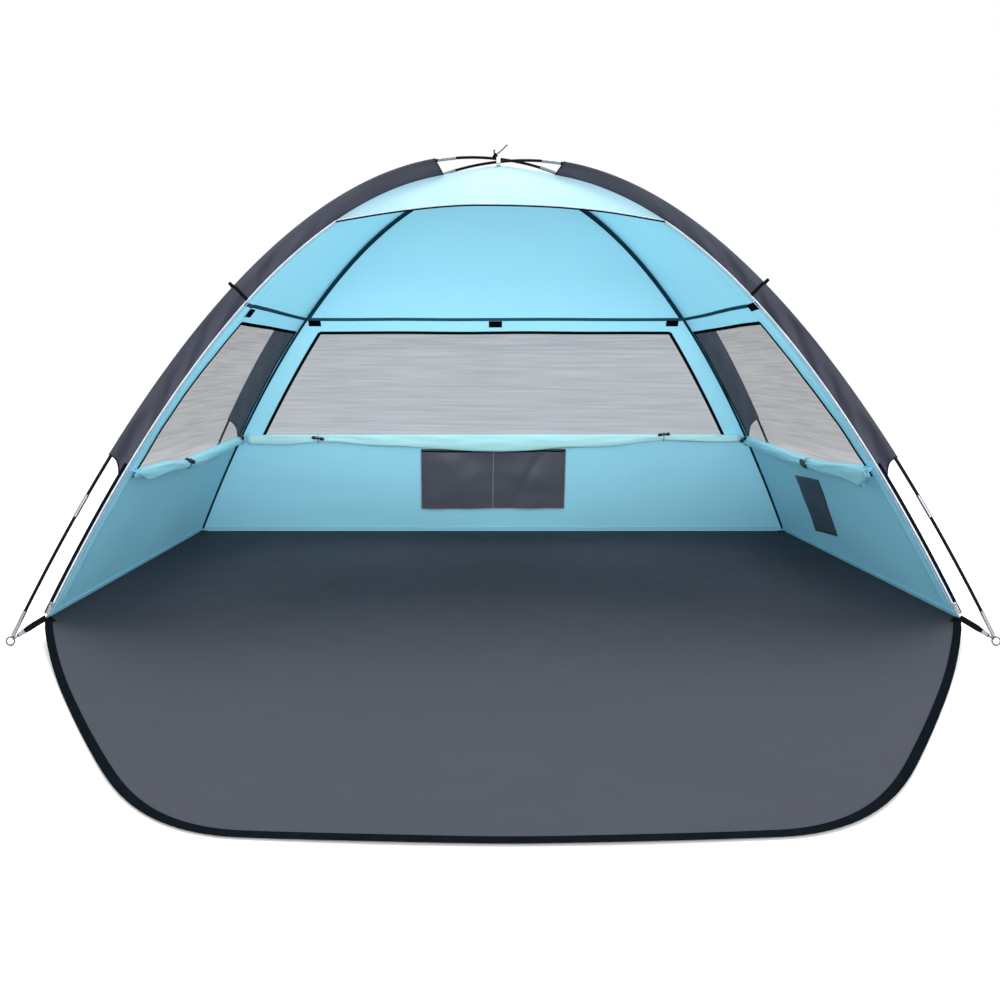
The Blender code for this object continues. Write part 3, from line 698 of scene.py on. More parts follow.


# The canopy lets through less light low on the walls than higher up: a painted shade, darker towards the
# floor.
CANOPY = cloth_material("canopy_fabric", (0.31, 0.70, 0.87),
                        through=((0.06, 0.07), (0.30, 0.20), (0.80, 0.46), (1.0, 0.30)))
# The side walls' copy of the canopy cloth, darker and letting less light through than the back's: painted
# shade on the same cloth.
CANOPY_SIDE_SHADED = cloth_material("canopy_side_shaded_fabric", (0.27, 0.67, 0.85),
                             through=((0.10, 0.06), (0.42, 0.10), (0.80, 0.42), (1.0, 0.44)))
# The brow's own copy of the canopy cloth, greyer than it, its colour set for how the brow looks lit from
# the front: painted light on the same cloth.
CANOPY_BROW_PAINTED_LIGHT = cloth_material("canopy_outside", (0.31, 0.52, 0.62))
# The rolled flaps are the canopy's cloth, coloured paler and brighter than it so they look lit from
# above: painted light.
BACK_FLAP_PAINTED_LIGHT = cloth_material("back_flap_fabric_painted_light", (0.52, 0.93, 0.98))
SIDE_FLAP_PAINTED_LIGHT = cloth_material("side_flap_fabric_painted_light", (0.36, 0.80, 0.94))
FLOOR_CLOTH = cloth_material("floor_fabric", (0.046, 0.050, 0.064), (0.60, 0.72), 0.0, gloss=0.06)
# The sleeves' slanting dark and light bands are painted crease shade and light, not a pattern in the
# cloth.
SLEEVE_CLOTH = cloth_material("sleeve_fabric", (0.048, 0.052, 0.071), (0.50, 0.66), 0.0,
                              gloss=0.08, painted_crease_shade=0.65)
POCKET_CLOTH = cloth_material("pocket_fabric", (0.094, 0.104, 0.135), (0.30, 0.44), gloss=0.7)
POCKET_TRIM = cloth_material("pocket_trim", (0.34, 0.35, 0.42), (0.34, 0.50))
PATCH_CLOTH = cloth_material("patch_fabric", (0.045, 0.085, 0.120), (0.5, 0.65))
WINDOW_MESH = mesh_material("window_mesh", (0.045, 0.12, 0.20), (0.46, 0.58))
SIDE_MESH = mesh_material("side_window_mesh", (0.05, 0.07, 0.10), (0.50, 0.62))
BINDING = tape_material("binding_tape", (0.004, 0.006, 0.008))
RIDGE_TAPE = tape_material("ridge_tape", (0.008, 0.050, 0.095))
SEAM_TAPE = tape_material("seam_tape", (0.024, 0.085, 0.14))
ZIP_TAPE = tape_material("zip_tape", (0.30, 0.36, 0.46), rib=0.0012)
WEBBING = tape_material("webbing", (0.006, 0.006, 0.007))
PIPING = tape_material("white_piping", (0.58, 0.62, 0.72))
TAIL = tape_material("tail_cord", (0.13, 0.13, 0.16), rib=0.0012)
TIE = tape_material("tie_tape", (0.82, 0.82, 0.82))
HOOK_TAPE = tape_material("hook_tape", (0.004, 0.004, 0.005), rib=0.0012)
CORD = tape_material("elastic_cord", (0.70, 0.70, 0.72), rib=0.0012)
# A smooth wrapped rod with its fibres lengthwise, and moulded plastic with a fine grain
ROD = plain_material("fibreglass", (0.006, 0.006, 0.007), (30.0, 0.7, 1.6), (60.0, 0.26, 0.42),
                     (700.0, (1.0, 0.05, 1.0), "UV"), (0.00008, 0.5), Specular_IOR_Level=0.03)
TOGGLE = plain_material("toggle_plastic", (0.006, 0.006, 0.007), (150.0, 0.8, 1.3),
                        (90.0, 0.34, 0.52), (1800.0,), (0.00006, 0.5))
FERRULE = metal_material("ferrule_metal", (0.31, 0.32, 0.34))
STEEL = metal_material("steel", (0.13, 0.13, 0.145))
LINK = metal_material("link_metal", (0.12, 0.12, 0.135))
ZIP_METAL = metal_material("zip_metal", (0.24, 0.25, 0.27))


# ---- Skin ----


def place(obj, slot="webbing", *nodes, body="shelter"):
    """Put a piece on its body, in place of any CAD nodes that it stands for; its slot is not used."""
    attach(obj, body)
    if nodes:
        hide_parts(*nodes)
    return obj


def make_gore(side):
    """One side of the canopy in a single sheet, from the apex down to the floor."""
    window = WINDOWS[side]
    heights = joined(spaced(SKIN_TOP_T, SEAM_T, 26), spaced(SEAM_T, WINDOW_TOP_T, 4),
                     spaced(WINDOW_TOP_T, window["bottom"], 16),
                     spaced(window["bottom"], SKIRT_T, 22))
    before, across, after = 13, 45, 7
    rows = []
    for t in heights:
        left, right = window_edges(window, t)
        places = joined(spaced(-1.0, left, before), spaced(left, right, across),
                        spaced(right, 1.0, after))
        rows.append([cloth(side, u, t) for u in places])
    open_rows = range(heights.index(WINDOW_TOP_T), heights.index(window["bottom"]))
    open_columns = range(before - 1, before + across - 2)
    gore = surface(f"canopy_{side}", rows, CANOPY if side == "back" else CANOPY_SIDE_SHADED,
                   skip=lambda i, k: i in open_rows and k in open_columns)
    return place(gore, "canopy_fabric", f"roof_{side}", f"{side}_wall")


def brow_foot(u):
    """The height share of the brow's lower edge, which curves down to its ends."""
    return BROW_MIDDLE_T + (BROW_END_T - BROW_MIDDLE_T) * abs(u) ** BROW_POWER


def make_brow():
    """The front of the canopy, cut away in a curve over the doorway."""
    rows = [[cloth("front", u, SKIN_TOP_T + (brow_foot(u) - SKIN_TOP_T) * share)
             for u in spaced(-1.0, 1.0, 49)] for share in shares(20)]
    brow = place(surface("canopy_front", rows, CANOPY_BROW_PAINTED_LIGHT), "canopy_outside", "roof_front")
    edge = [point - UP * 0.001 for point in rows[-1]]
    piping = trim_bar("brow_piping", edge, BROW_PIPING_RADIUS, sides=12)
    above = [cloth("front", u, brow_foot(u) - 0.0045, -0.0008) for u in spaced(-0.995, 0.995, 49)]
    stitching = trim_bar("brow_hem", above, 0.0012, PIPING, "tie_tape", 12)


def trim_bar(name, points, radius, material=BINDING, slot="webbing", sides=8):
    """A thin round trim that lies along a row of points of the shelter."""
    return place(round_bar(name, points, radius, material, sides), slot)


def wall_strip(name, side, places, half_width, material, stand_off=0.0016, half_thick=0.0007,
               slot="webbing"):
    """A tape sewn on the inside of a wall, through a list of (across, down) places."""
    points = [cloth(side, u, t, stand_off) for u, t in places]
    stations = facing_stations(points, [inward(side, u, t) for u, t in places])
    return place(strip(name, stations, half_width, half_thick, material), slot)


def make_window(side):
    """The mesh of a window, and the dark tape bound round its opening."""
    window = WINDOWS[side]
    heights = spaced(WINDOW_TOP_T, window["bottom"], 18)
    rows = [[cloth(side, u, t, 0.0002) for u in spaced(*window_edges(window, t), 45)]
            for t in heights]
    panel = surface(f"window_{side}", rows, WINDOW_MESH if side == "back" else SIDE_MESH)
    place(panel, "window_mesh", f"{side}_mesh")
    runs = {"top": [(u, WINDOW_TOP_T) for u in spaced(*window["top_edges"], 45)],
            "left": [(window_edges(window, t)[0], t) for t in heights],
            "right": [(window_edges(window, t)[1], t) for t in heights]}
    tapes = [wall_strip(f"window_{side}_binding_{run}", side, places, WINDOW_BINDING_HALF_WIDTH,
                        BINDING) for run, places in runs.items()]


def make_walls():
    """The three gores with their seams, hems and windows."""
    for side, window in WINDOWS.items():
        gore = make_gore(side)
        seam = wall_strip(f"seam_{side}", side, [(u, SEAM_T) for u in spaced(-0.99, 0.99, 60)],
                          SEAM_HALF_WIDTH, SEAM_TAPE)
        hem = wall_strip(f"hem_{side}", side, [(u, HEM_T) for u in spaced(-0.992, 0.992, 60)],
                         HEM_HALF_WIDTH, CANOPY, 0.0020, 0.0012, "canopy_outside")
        make_window(side)


def make_ridge_bindings():
    """Dark tape over the inner seams of the back ridges, wider above the wall seam."""
    runs = (("upper", 0.05, SEAM_T, 0.0125), ("lower", SEAM_T, 0.995, 0.0056))
    for corner in SIDES["back"]:
        across, back = CORNERS[corner]
        middle = Vector((-across * FLOOR_DEPTH, -back * FLOOR_WIDTH, -1.1)).normalized()
        for name, start, end, half_width in runs:
            stations = []
            for t in spaced(start, end, 40):
                along = (ridge(corner, t + 0.005) - ridge(corner, t - 0.005)).normalized()
                facing = square_to(middle, along)
                stations.append((ridge(corner, t) + facing * 0.0030, facing.cross(along), facing))
            place(strip(f"ridge_binding_{corner}_{name}", stations, half_width, 0.0008, RIDGE_TAPE))
            for edge in (-1, 1):
                line = [point + way * (edge * (half_width - 0.0016)) + facing * 0.0012
                        for point, way, facing in stations]
                trim_bar(f"ridge_stitch_{corner}_{name}_{edge}", line, STITCH_RADIUS)


def make_front_edges():
    """The doorway's zip edges: white piping, the zip's coil, and dark tape below the sleeve."""
    for corner in SIDES["front"]:
        outer = Vector((CORNERS[corner][0], -0.35, 0.35)).normalized()
        piping, tape, coil = [], [], []
        for t in spaced(BROW_END_T - 0.004, HEM_T, 90):
            along = (ridge(corner, t + 0.004) - ridge(corner, t - 0.004)).normalized()
            out, front = square_to(outer, along), square_to(FORWARD, along)
            base = ridge(corner, t)
            piping.append(base + front * 0.0030 - out * 0.0022)
            if t > TAPE_TOP_T:
                tape.append((base + out * 0.0042 + front * 0.0016, out, front))
            coil.append(base + front * 0.0022 - out * 0.0085)
        side = corner.removeprefix("front_")
        trim_bar(f"door_edge_piping_{side}", piping, DOOR_PIPING_RADIUS, PIPING, "tie_tape", 12)
        place(strip(f"door_edge_tape_{side}", tape, 0.0050, 0.0009, BINDING))
        trim_bar(f"door_zip_coil_{side}", coil, ZIP_COIL_RADIUS, ZIP_TAPE, sides=12)


def make_tabs():
    """Hook-and-loop tabs below the roof seam, which hold the window flaps up."""
    # wall, place across and down it, half length and half height
    tabs = [("back", -0.94, 0.583, 0.022, 0.011), ("back", 0.003, 0.585, 0.024, 0.012),
            ("back", 0.925, 0.583, 0.022, 0.011), ("left", -0.77, 0.586, 0.034, 0.014),
            ("right", -0.905, 0.576, 0.028, 0.012)]
    for number, (side, u, t, half_long, half_high) in enumerate(tabs, 1):
        reach = 2 * half_long / (WALL_WIDTH[side] * t)
        wall_strip(f"flap_tab_{number}", side, [(v, t) for v in spaced(u - reach, u + reach, 7)],
                   half_high, HOOK_TAPE, 0.0034, 0.0012)


# ---- Floor and door panel ----


def bezier(start, handle, other_handle, end, share):
    rest = 1.0 - share
    return (start * rest ** 3 + 3 * handle * rest ** 2 * share
            + 3 * other_handle * rest * share ** 2 + end * share ** 3)


def door_outline():
    """Half of the door panel's edge, from the floor corner to the middle of its far side."""
    far = DOOR_LENGTH
    knots = [
        # point, handle before, handle after: across, and forward of the fold line
        ((FLOOR_WIDTH / 2 - 0.001, 0.0), (1.10, 0.0), (1.137, 0.140)),
        ((0.784, 0.69), (0.938, 0.46), (0.681, 0.845)),
        ((0.43, far - 0.020), (0.585, far - 0.032), (0.30, far - 0.010)),
        ((0.0, far), (0.15, far), (-0.15, far)),
    ]
    points = []
    for (start, _, handle), (end, other_handle, _) in zip(knots, knots[1:]):
        run = [Vector((*p, 0.0)) for p in (start, handle, other_handle, end)]
        points += [bezier(*run, share) for share in shares(25)[:-1]]
    return points + [Vector((0.0, far, 0.0))]


def ground_point(x, forward, rise=0.0):
    """A point of the floor or of the door panel, forward of the fold line."""
    y = -FLOOR_DEPTH / 2 - forward
    height = floor_height(x, y) * (1.0 - smooth(0.0, 0.42, forward))
    settle = smooth(0.0, 0.25, 1.25 - abs(x)) * smooth(-1.42, -1.2, -abs(forward))
    ripple = 0.0022 * wander(x * 3.5, y * 3.5, 0.0) + 0.0022
    folds = 0.0010 * abs(wander(x * 1.3, y * 1.1, 4.0)) * settle
    askew = -0.019 * max(0.0, forward)
    return Vector((x + askew, y, 0.0012 + height + ripple * settle + folds + rise))


def make_ground_sheet():
    """The floor and the door panel in one sheet, which folds along the doorway."""
    outline = door_outline()
    spans = [(FLOOR_WIDTH / 2 + 0.001, forward) for forward in spaced(-FLOOR_DEPTH, 0.0, 30)[:-1]]
    spans += [(max(point.x, 0.01), point.y) for point in outline]
    rows = [[ground_point(share * half, forward) for share in spaced(-1.0, 1.0, 61)]
            for half, forward in spans]
    sheet = surface("floor_and_door", rows, FLOOR_CLOTH)
    edge = outline + [Vector((-p.x, p.y, 0.0)) for p in outline[-2::-1]]
    stations = []
    for point, along in zip(edge, directions(edge)):
        to_middle = Vector((along.y, -along.x, 0.0))
        if to_middle.dot(Vector((0.0, 0.35, 0.0)) - point) < 0:
            to_middle = -to_middle
        inset = point + to_middle * 0.0088
        stations.append((ground_point(inset.x, inset.y, 0.0012),
                         Vector((to_middle.x, -to_middle.y, 0.0)), UP))
    binding = strip("door_binding", stations, DOOR_BINDING_HALF_WIDTH, 0.0013, BINDING)
    teeth = [point - inner * 0.0084 + UP * 0.0008 for point, inner, _ in stations[2:-2]]
    coil = round_bar("door_zip_half", teeth, 0.0016, BINDING, 8)
    for piece, slot in ((sheet, "floor_fabric"), (binding, "webbing"), (coil, "webbing")):
        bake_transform(piece)
    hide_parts("floor", "door_panel")


# ---- Window flaps ----


def roll_axes(side, u, t):
    """The directions into the shelter, along the wall and up it, at a roll."""
    facing = inward(side, u, t)
    along = (skin(side, u + 0.01, t) - skin(side, u - 0.01, t)).normalized()
    upward = along.cross(facing)
    return facing, along, upward if upward.z > 0 else -upward


def roll_point(side, u, angle, wind):
    """A point of a rolled flap: an angle round it, and how far it is wound in, from 0 to 1."""
    roll = ROLLS[side]
    half = eased(roll["half"], u)
    t = level(side, u, eased(roll["top"], u) + half / WALL_FALL[side])
    facing, _, upward = roll_axes(side, u, t)
    rise, reach = math.sin(angle), math.cos(angle)
    reach = math.copysign(abs(reach) ** 0.85, reach)
    depth = 0.0115 + 0.10 * half
    shrink = 1.0 - 0.60 * wind
    creases = 0.0
    for toggle_u, _ in roll["toggles"]:
        away = abs(u - toggle_u) * WALL_WIDTH[side] * t / 2
        creases += 0.0030 * math.exp(-away / 0.055) * math.sin(away * 150.0 + angle * 5.0)
        depth *= 1.0 - 0.25 * math.exp(-(away / 0.03) ** 2)
    long_fold = wander(u * WALL_WIDTH[side] * 3.0, rise * 1.6, 3.0 + wind)
    lean = 1.0 - 0.42 * rise if reach > 0 else 0.75
    out = (depth * lean * reach + creases * abs(reach) + 0.0048 * long_fold) * shrink
    return (skin(side, u, t) + facing * (ROLL_STAND_OFF + out)
            + upward * (half * rise * shrink + 0.0012 * long_fold * abs(reach)))


def make_roll(side):
    """A window flap as a real roll: one sheet wound up on itself, slack between its toggles."""
    roll = ROLLS[side]
    first, last = roll["ends"]
    rows = []
    for share in shares(130):
        row = []
        for wind in shares(int(ROLL_TURNS * ROLL_POINTS_PER_TURN)):
            angle = ROLL_SEWN_AT - 2.0 * math.pi * ROLL_TURNS * wind
            fall = (1.0 - math.sin(angle)) / 2.0
            start = first + roll["slant"] * fall * (1.0 - 0.3 * wind)
            row.append(roll_point(side, start + (last - start) * share, angle, wind))
        u = first + (last - first) * share
        seam = cloth(side, u, eased(roll["top"], u) + 0.004, 0.0012)
        rows.append([seam.lerp(row[0], part) for part in shares(6)[:-1]] + row)
    flap = surface(f"flap_{side}", rows, BACK_FLAP_PAINTED_LIGHT if side == "back" else SIDE_FLAP_PAINTED_LIGHT)
    place(thicken(flap, FLAP_THICKNESS), "canopy_outside", f"roll_{side}", body=f"roll_{side}")
    fittings = []
    for number, (u, angle) in enumerate(roll["toggles"], 1):
        fittings += make_toggle(side, number, u, math.radians(angle))


def make_toggle(side, number, u, angle):
    """A two-lobed toggle with a bright collar, on an elastic loop round the roll."""
    turn = [roll_point(side, u, 2.0 * math.pi * k / 32, 0.0) for k in range(33)]
    middle = sum(turn[:-1], Vector()) / 32
    around = [point + (point - middle).normalized() * 0.0009 for point in turn]
    loop = round_bar(f"flap_loop_{side}_{number}", around, 0.0011, WEBBING, 8)
    seat = roll_point(side, u, angle, 0.0)
    along = roll_axes(side, u, 0.83)[1]
    front = square_to(seat - middle, along)
    spot = seat + front * 0.0040
    axis = (along + front.cross(along) * math.copysign(TOGGLE_TILT[side], u)).normalized()
    side_way = front.cross(axis).normalized()
    lobe = [(0.003, 0.0024), (0.006, 0.0032), (0.010, 0.0058), (0.015, 0.0066),
            (0.020, 0.0058), (0.0235, 0.0036), (0.0245, 0.0014)]
    profile = [(-reach, size) for reach, size in reversed(lobe)] + lobe
    barrel = tube(f"toggle_{side}_{number}",
                  [circle(spot + axis * reach, size, front, side_way, 16) for reach, size in profile],
                  TOGGLE)
    collar = wire_ring(f"toggle_eye_{side}_{number}", spot + front * 0.0016, front, side_way,
                       0.0050, 0.0022, STEEL)
    body = f"roll_{side}"
    return [place(loop, body=body), place(barrel, body=body), place(collar, "steel", body=body)]


# ---- Pocket and patch ----


def pocket_point(x, t, lift):
    return cloth("back", x / (FLOOR_WIDTH / 2 * t), t) + inward("back", 0.0, t) * lift


def pocket_belly(x, down):
    """How far the pocket's front stands off the wall: two slack bellies either side of a seam."""
    share = abs(x) / POCKET_HALF
    belly = math.sin(math.pi * share) ** 0.6 if 0.0 < share < 1.0 else 0.0
    depth = 0.004 + 0.018 * math.sin(math.pi * (0.12 + 0.80 * down))
    crease = 0.0
    if x > 0:
        diagonal = share + 0.44 * down - 0.68
        crease = -0.0085 * math.exp(-(diagonal / 0.07) ** 2) * (1.0 - 0.6 * down)
    rumple = 0.0055 * wander(x * 13.0, down * 3.5, 1.3)
    return 0.0042 + belly * max(0.0008, depth * 0.62 + crease + rumple)


def make_pocket():
    """A two-part pocket sewn to the back wall, with its mouth along the top."""
    across = spaced(-POCKET_HALF, POCKET_HALF, 81)
    fall = POCKET_BOTTOM_T - POCKET_TOP_T
    rows = [[pocket_point(x * (1.0 + 0.014 * down), POCKET_TOP_T + fall * down, pocket_belly(x, down))
             for x in across] for down in shares(30)]
    back_rows = [[pocket_point(x, t, 0.0024) for x in across]
                 for t in spaced(POCKET_TOP_T - 0.004, POCKET_BOTTOM_T, 16)]
    front = place(surface("pocket_front", rows, POCKET_CLOTH), "pocket_fabric", "pocket")
    back = place(surface("pocket_back", back_rows, POCKET_CLOTH), "pocket_fabric")
    edges = {"left": [row[0] for row in rows], "right": [row[-1] for row in rows],
             "bottom": rows[-1], "middle": [row[40] for row in rows]}
    proud = inward("back", 0.0, 0.92) * 0.0014
    trims = [trim_bar(f"pocket_piping_{run}", [point + proud for point in points],
                      STITCH_RADIUS if run == "middle" else 0.0019, POCKET_TRIM)
             for run, points in edges.items()]
    # The mouth's hem is black and thick so it also gives the dark line of the roll's shadow along the
    # pocket's top: a real hem with a painted shadow.
    trims.append(trim_bar("pocket_mouth_hem_painted_shadow", [p + UP * 0.001 for p in rows[0]], 0.0026,
                          slot="pocket_fabric"))


def make_patch():
    """A plain dark patch sewn low on the right wall."""
    rows = []
    for share in shares(16):
        front, rear = -0.059 + 0.102 * share, 0.309 + 0.059 * share
        rows.append([cloth("right", front + (rear - front) * across,
                           0.866 + 0.006 * across + (0.093 + 0.002 * across) * share, 0.0014)
                     for across in shares(16)])
    patch = thicken(surface("wall_patch", rows, PATCH_CLOTH), PATCH_THICKNESS)
    place(patch, "sleeve_fabric")


# ---- Poles and sleeves ----


def pole_tube(name, pole, profile, material, *placing):
    """A closed round body along a pole, from its (arc length, radius) at each ring."""
    rings = []
    for arc, radius in profile:
        centre, _, normal, side = pole_frame(pole, arc)
        rings.append(circle(centre, radius, normal, side, 20))
    place(tube(name, rings, material), *placing)


def make_ferrule(name, pole, start, end):
    """A drawn tube over a joint, with a rolled lip at each end."""
    lip, rim = FERRULE_RADIUS + 0.0004, 0.0012
    ends = ((0.0, FERRULE_RADIUS - 0.0006), (rim / 3, lip), (rim, lip), (2 * rim, FERRULE_RADIUS))
    profile = [(start + inset, radius) for inset, radius in ends]
    profile += [(arc, FERRULE_RADIUS) for arc in spaced(start + 4 * rim, end - 4 * rim, 5)]
    profile += [(end - inset, radius) for inset, radius in reversed(ends)]
    pole_tube(name, pole, profile, FERRULE, "steel")


def make_poles():
    """Black rods with a bright ferrule at each joint, and a longer one at each tip."""
    middle, gap, worn = SECTIONS // 2, 0.0004, POLE_RADIUS - 0.0006
    for pole in POLES:
        half = half_pole(pole)
        length = 2.0 * half / SECTIONS
        for number in range(-middle, middle + 1):
            label = f"{number + middle + 1:02d}"
            joint = (number + 0.5) * length
            start, end = joint - length + gap, joint - gap
            profile = [(start, worn)] + [(arc, POLE_RADIUS) for arc in spaced(start, end, 24)]
            pole_tube(f"pole_{pole}_rod_{label}", pole, profile + [(end, worn)], ROD,
                      "fibreglass", f"pole_{pole}_section_{label}")
            if number != middle:
                make_ferrule(f"pole_{pole}_ferrule_{label}", pole, joint - FERRULE_HALF,
                             joint + FERRULE_HALF)
        make_ferrule(f"pole_{pole}_tip_left", pole, -half, -half + TIP_FERRULE)
        make_ferrule(f"pole_{pole}_tip_right", pole, half - TIP_FERRULE, half)


def sleeve_arc(depth_share, run_share):
    """Arc length of a sleeve's point: its ends are cut on a slant and in a hollow curve."""
    top = SLEEVE_TOP - 0.022 * depth_share
    foot = SLEEVE_FOOT + 0.050 * depth_share ** 2.5
    return top + (foot - top) * run_share


def sleeve_crease(arc, depth):
    """Slanting creases in a sleeve, slight at its top and strong towards its foot."""
    growth = 0.0014 + 0.0105 * smooth(0.45, 0.95, arc)
    slant = arc * 38.0 - depth * 62.0
    fold = math.sin(slant + 2.2 * wander(arc * 5.0, depth * 20.0, 0.0))
    soft = wander(arc * 9.0 - depth * 22.0, depth * 12.0, 2.0)
    return growth * (0.55 * fold * abs(fold) + 0.9 * soft)


def sleeve_row(corner, run):
    """One row of a sleeve: up its left panel, over the pole and down its right panel."""
    pole, sign = pole_end(corner)
    centre, _, normal, side = pole_frame(pole, sign * sleeve_arc(0.0, run))
    halves = []
    for layer in (-1.0, 1.0):
        half = []
        for share in spaced(1.0, 0.0, 9):
            at = sleeve_arc(share, run)
            middle, _, out, across = pole_frame(pole, sign * at)
            depth = drop_to_ridge(corner, middle, out) * share
            hold = math.sin(math.pi * share) ** 0.7 if 0.0 < share < 1.0 else 0.0
            gap = SLEEVE_FIT * (1.0 - share) + 0.0010
            billow = 0.0045 * hold * smooth(0.0, 0.6, 1.0 - abs(2 * run - 1.0))
            crease = hold * sleeve_crease(at, depth)
            half.append(middle - out * depth + across * (layer * (gap + billow) + crease))
        half += [centre + SLEEVE_FIT * (layer * math.cos(turn) * side + math.sin(turn) * normal)
                 for turn in spaced(0.0, math.pi / 2, 6)[1:-1]]
        halves.append(half)
    return halves[0] + [centre + SLEEVE_FIT * normal] + halves[1][::-1]


def make_sleeve(corner):
    """A fabric channel pulled tight over the pole and sewn along the ridge."""
    rows = [sleeve_row(corner, run) for run in shares(130)]
    sleeve = thicken(surface(f"sleeve_{corner}_cloth", rows, SLEEVE_CLOTH), SLEEVE_THICKNESS)
    place(sleeve, "sleeve_fabric", f"sleeve_{corner}")
    trims = [trim_bar(f"sleeve_{corner}_hem_{end}", row, STITCH_RADIUS)
             for end, row in (("top", rows[0]), ("foot", rows[-1]))]
    trims += make_guy_loop(corner)


def make_guy_loop(corner):
    """A tape sewn round the sleeve, ending in a small loop on the pole's outer side."""
    pole, sign = pole_end(corner)
    centre, along, normal, side = pole_frame(pole, sign * GUY_ARC[CORNERS[corner][0]])
    drop = drop_to_ridge(corner, centre, normal)
    legs = [[centre - normal * (drop * share)
             + side * (layer * (GUY_FIT * (1 - share) + 0.0045 + 0.004 * share))
             for share in spaced(0.0, 0.97, 8)] for layer in (-1.0, 1.0)]
    over = [centre + (math.sin(a) * normal - math.cos(a) * side) * (GUY_FIT * 1.12)
            for a in spaced(0.0, math.pi, 9)[1:-1]]
    eye = [centre + normal * (0.009 + 0.011 * math.sin(a)) - side * (0.006 * math.cos(a))
           for a in spaced(0.0, math.pi, 13)]
    return [place(strip(f"guy_{name}_{corner}", wrapped_stations(path, along), wide, thick, WEBBING))
            for name, path, wide, thick in (("band", legs[0][::-1] + over + legs[1], 0.0042, 0.0009),
                                            ("loop", eye, 0.0036, 0.0008))]


# ---- Corners ----


def make_ring_pin(corner):
    """A wire ring with its shank in the pole's end, and a collar between the two."""
    pin_frame = ring_pin_frame(corner)
    centre = pin_frame.translation
    right, _, up_pole = (pin_frame.to_3x3().col[k].copy() for k in range(3))
    body = f"ring_pin_{corner}"
    ring = wire_ring(f"{body}_ring", centre, right, up_pole, RING_MAJOR, RING_WIRE, STEEL, 48, 12)
    profile = ((RING_MAJOR - 0.0004, 0.0021), (RING_MAJOR + 0.0008, 0.0034),
               (RING_DROP - 0.0012, 0.0040), (RING_DROP - 0.0004, 0.0034),
               (RING_DROP + 0.0004, 0.0018), (RING_DROP + 0.038, 0.0017))
    shank = round_bar(f"{body}_shank", [centre + up_pole * reach for reach, _ in profile],
                      [radius for _, radius in profile], STEEL, 16)
    place(merged(f"{body}_wire", [ring, shank]), "steel", body, body=body)


def make_strap(corner):
    """The webbing from a ring to the floor's corner, its metal end and its eye on the ring."""
    across, back = CORNERS[corner]
    pin_frame = ring_pin_frame(corner)
    square = pin_frame.to_3x3().col[1].copy()
    lift = CORNER_LIFT + 0.004 if back < 0 else 0.0125
    sewn = Vector((across * FLOOR_WIDTH / 2, back * FLOOR_DEPTH / 2, lift))
    towards = square_to(sewn - pin_frame.translation, square)
    hold = pin_frame.translation + towards * RING_MAJOR
    flat = square.cross(towards).normalized()
    path = [hold + (sewn - hold) * share + UP * (0.0016 * math.sin(math.pi * share))
            for share in spaced(0.12, 1.06, 26)]
    stations = [(point, square_to(flat, line), square_to(flat, line).cross(line))
                for point, line in zip(path, directions(path))]
    widths = [0.0044 + 0.0034 * smooth(0.10, 0.42, along) for along in shares(len(path))]
    place(strip(f"strap_{corner}_webbing", stations, widths, 0.0010, WEBBING, STRAP_SHAPE),
          "webbing", f"strap_{corner}")
    place(strip(f"strap_{corner}_end", stations[1:7], [width * 1.25 for width in widths[1:7]],
                0.0024, LINK, STRAP_SHAPE), "steel")
    place(wire_ring(f"strap_{corner}_eye", hold + towards * 0.0035, towards, flat.cross(towards),
                    0.0066, 0.0015, STEEL, 32), "steel")


def make_corner_patch(corner):
    """A triangle of dark cloth sewn over the floor's corner, where the strap pulls."""
    across, back = CORNERS[corner]
    size, inset = 0.026, 0.003
    rows = [[ground_point(across * (FLOOR_WIDTH / 2 - inset - size * share * (1.0 - other)),
                          -FLOOR_DEPTH / 2 - back * (FLOOR_DEPTH / 2 - inset - size * share * other),
                          0.0024) for other in shares(8)] for share in shares(8)[1:]]
    place(thicken(surface(f"corner_patch_{corner}", rows, WEBBING), CORNER_PATCH_THICKNESS))


def make_sliders():
    """The zip sliders parked at the front corners, with their bails and pull tabs."""
    for side in ("left", "right"):
        name, corner = f"zip_slider_{side}", f"front_{side}"
        centre, hang = (sum(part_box(node), Vector()) / 2 for node in (name, f"zip_pull_{side}"))
        up = (ridge(corner, 0.930) - ridge(corner, 0.985)).normalized()
        facing = square_to(FORWARD, up)
        right = (-facing).cross(up)
        turned = frame_from(centre, right, -facing)
        shell = block(f"{name}_body", turned, (0.0092, 0.0046, 0.0132), ZIP_METAL, 0.0016)
        nose = block(f"{name}_nose", turned @ Matrix.Translation((0.0, 0.0, 0.0050)),
                     (0.0116, 0.0040, 0.0046), ZIP_METAL, 0.0014)
        bail = wire_ring(f"{name}_bail", centre + facing * 0.0023, facing, up, 0.0027, 0.0007,
                         ZIP_METAL)
        place(merged(f"{name}_shell", [shell, nose, bail]), "zip_metal", name, body=f"slider_{side}")
        profile = ((0.0132, 0.0016), (0.0126, 0.0026), (0.009, 0.0034), (0.0, 0.0030),
                   (-0.008, 0.0036), (-0.0118, 0.0030), (-0.0128, 0.0018))
        pull = strip(f"zip_pull_{side}_tab", [(hang + up * reach, right, facing) for reach, _ in profile],
                     [width for _, width in profile], 0.0006, ZIP_METAL, PULL_SHAPE)
        place(pull, "zip_metal", f"zip_pull_{side}", body=f"pull_{side}")


# ---- Apex ----


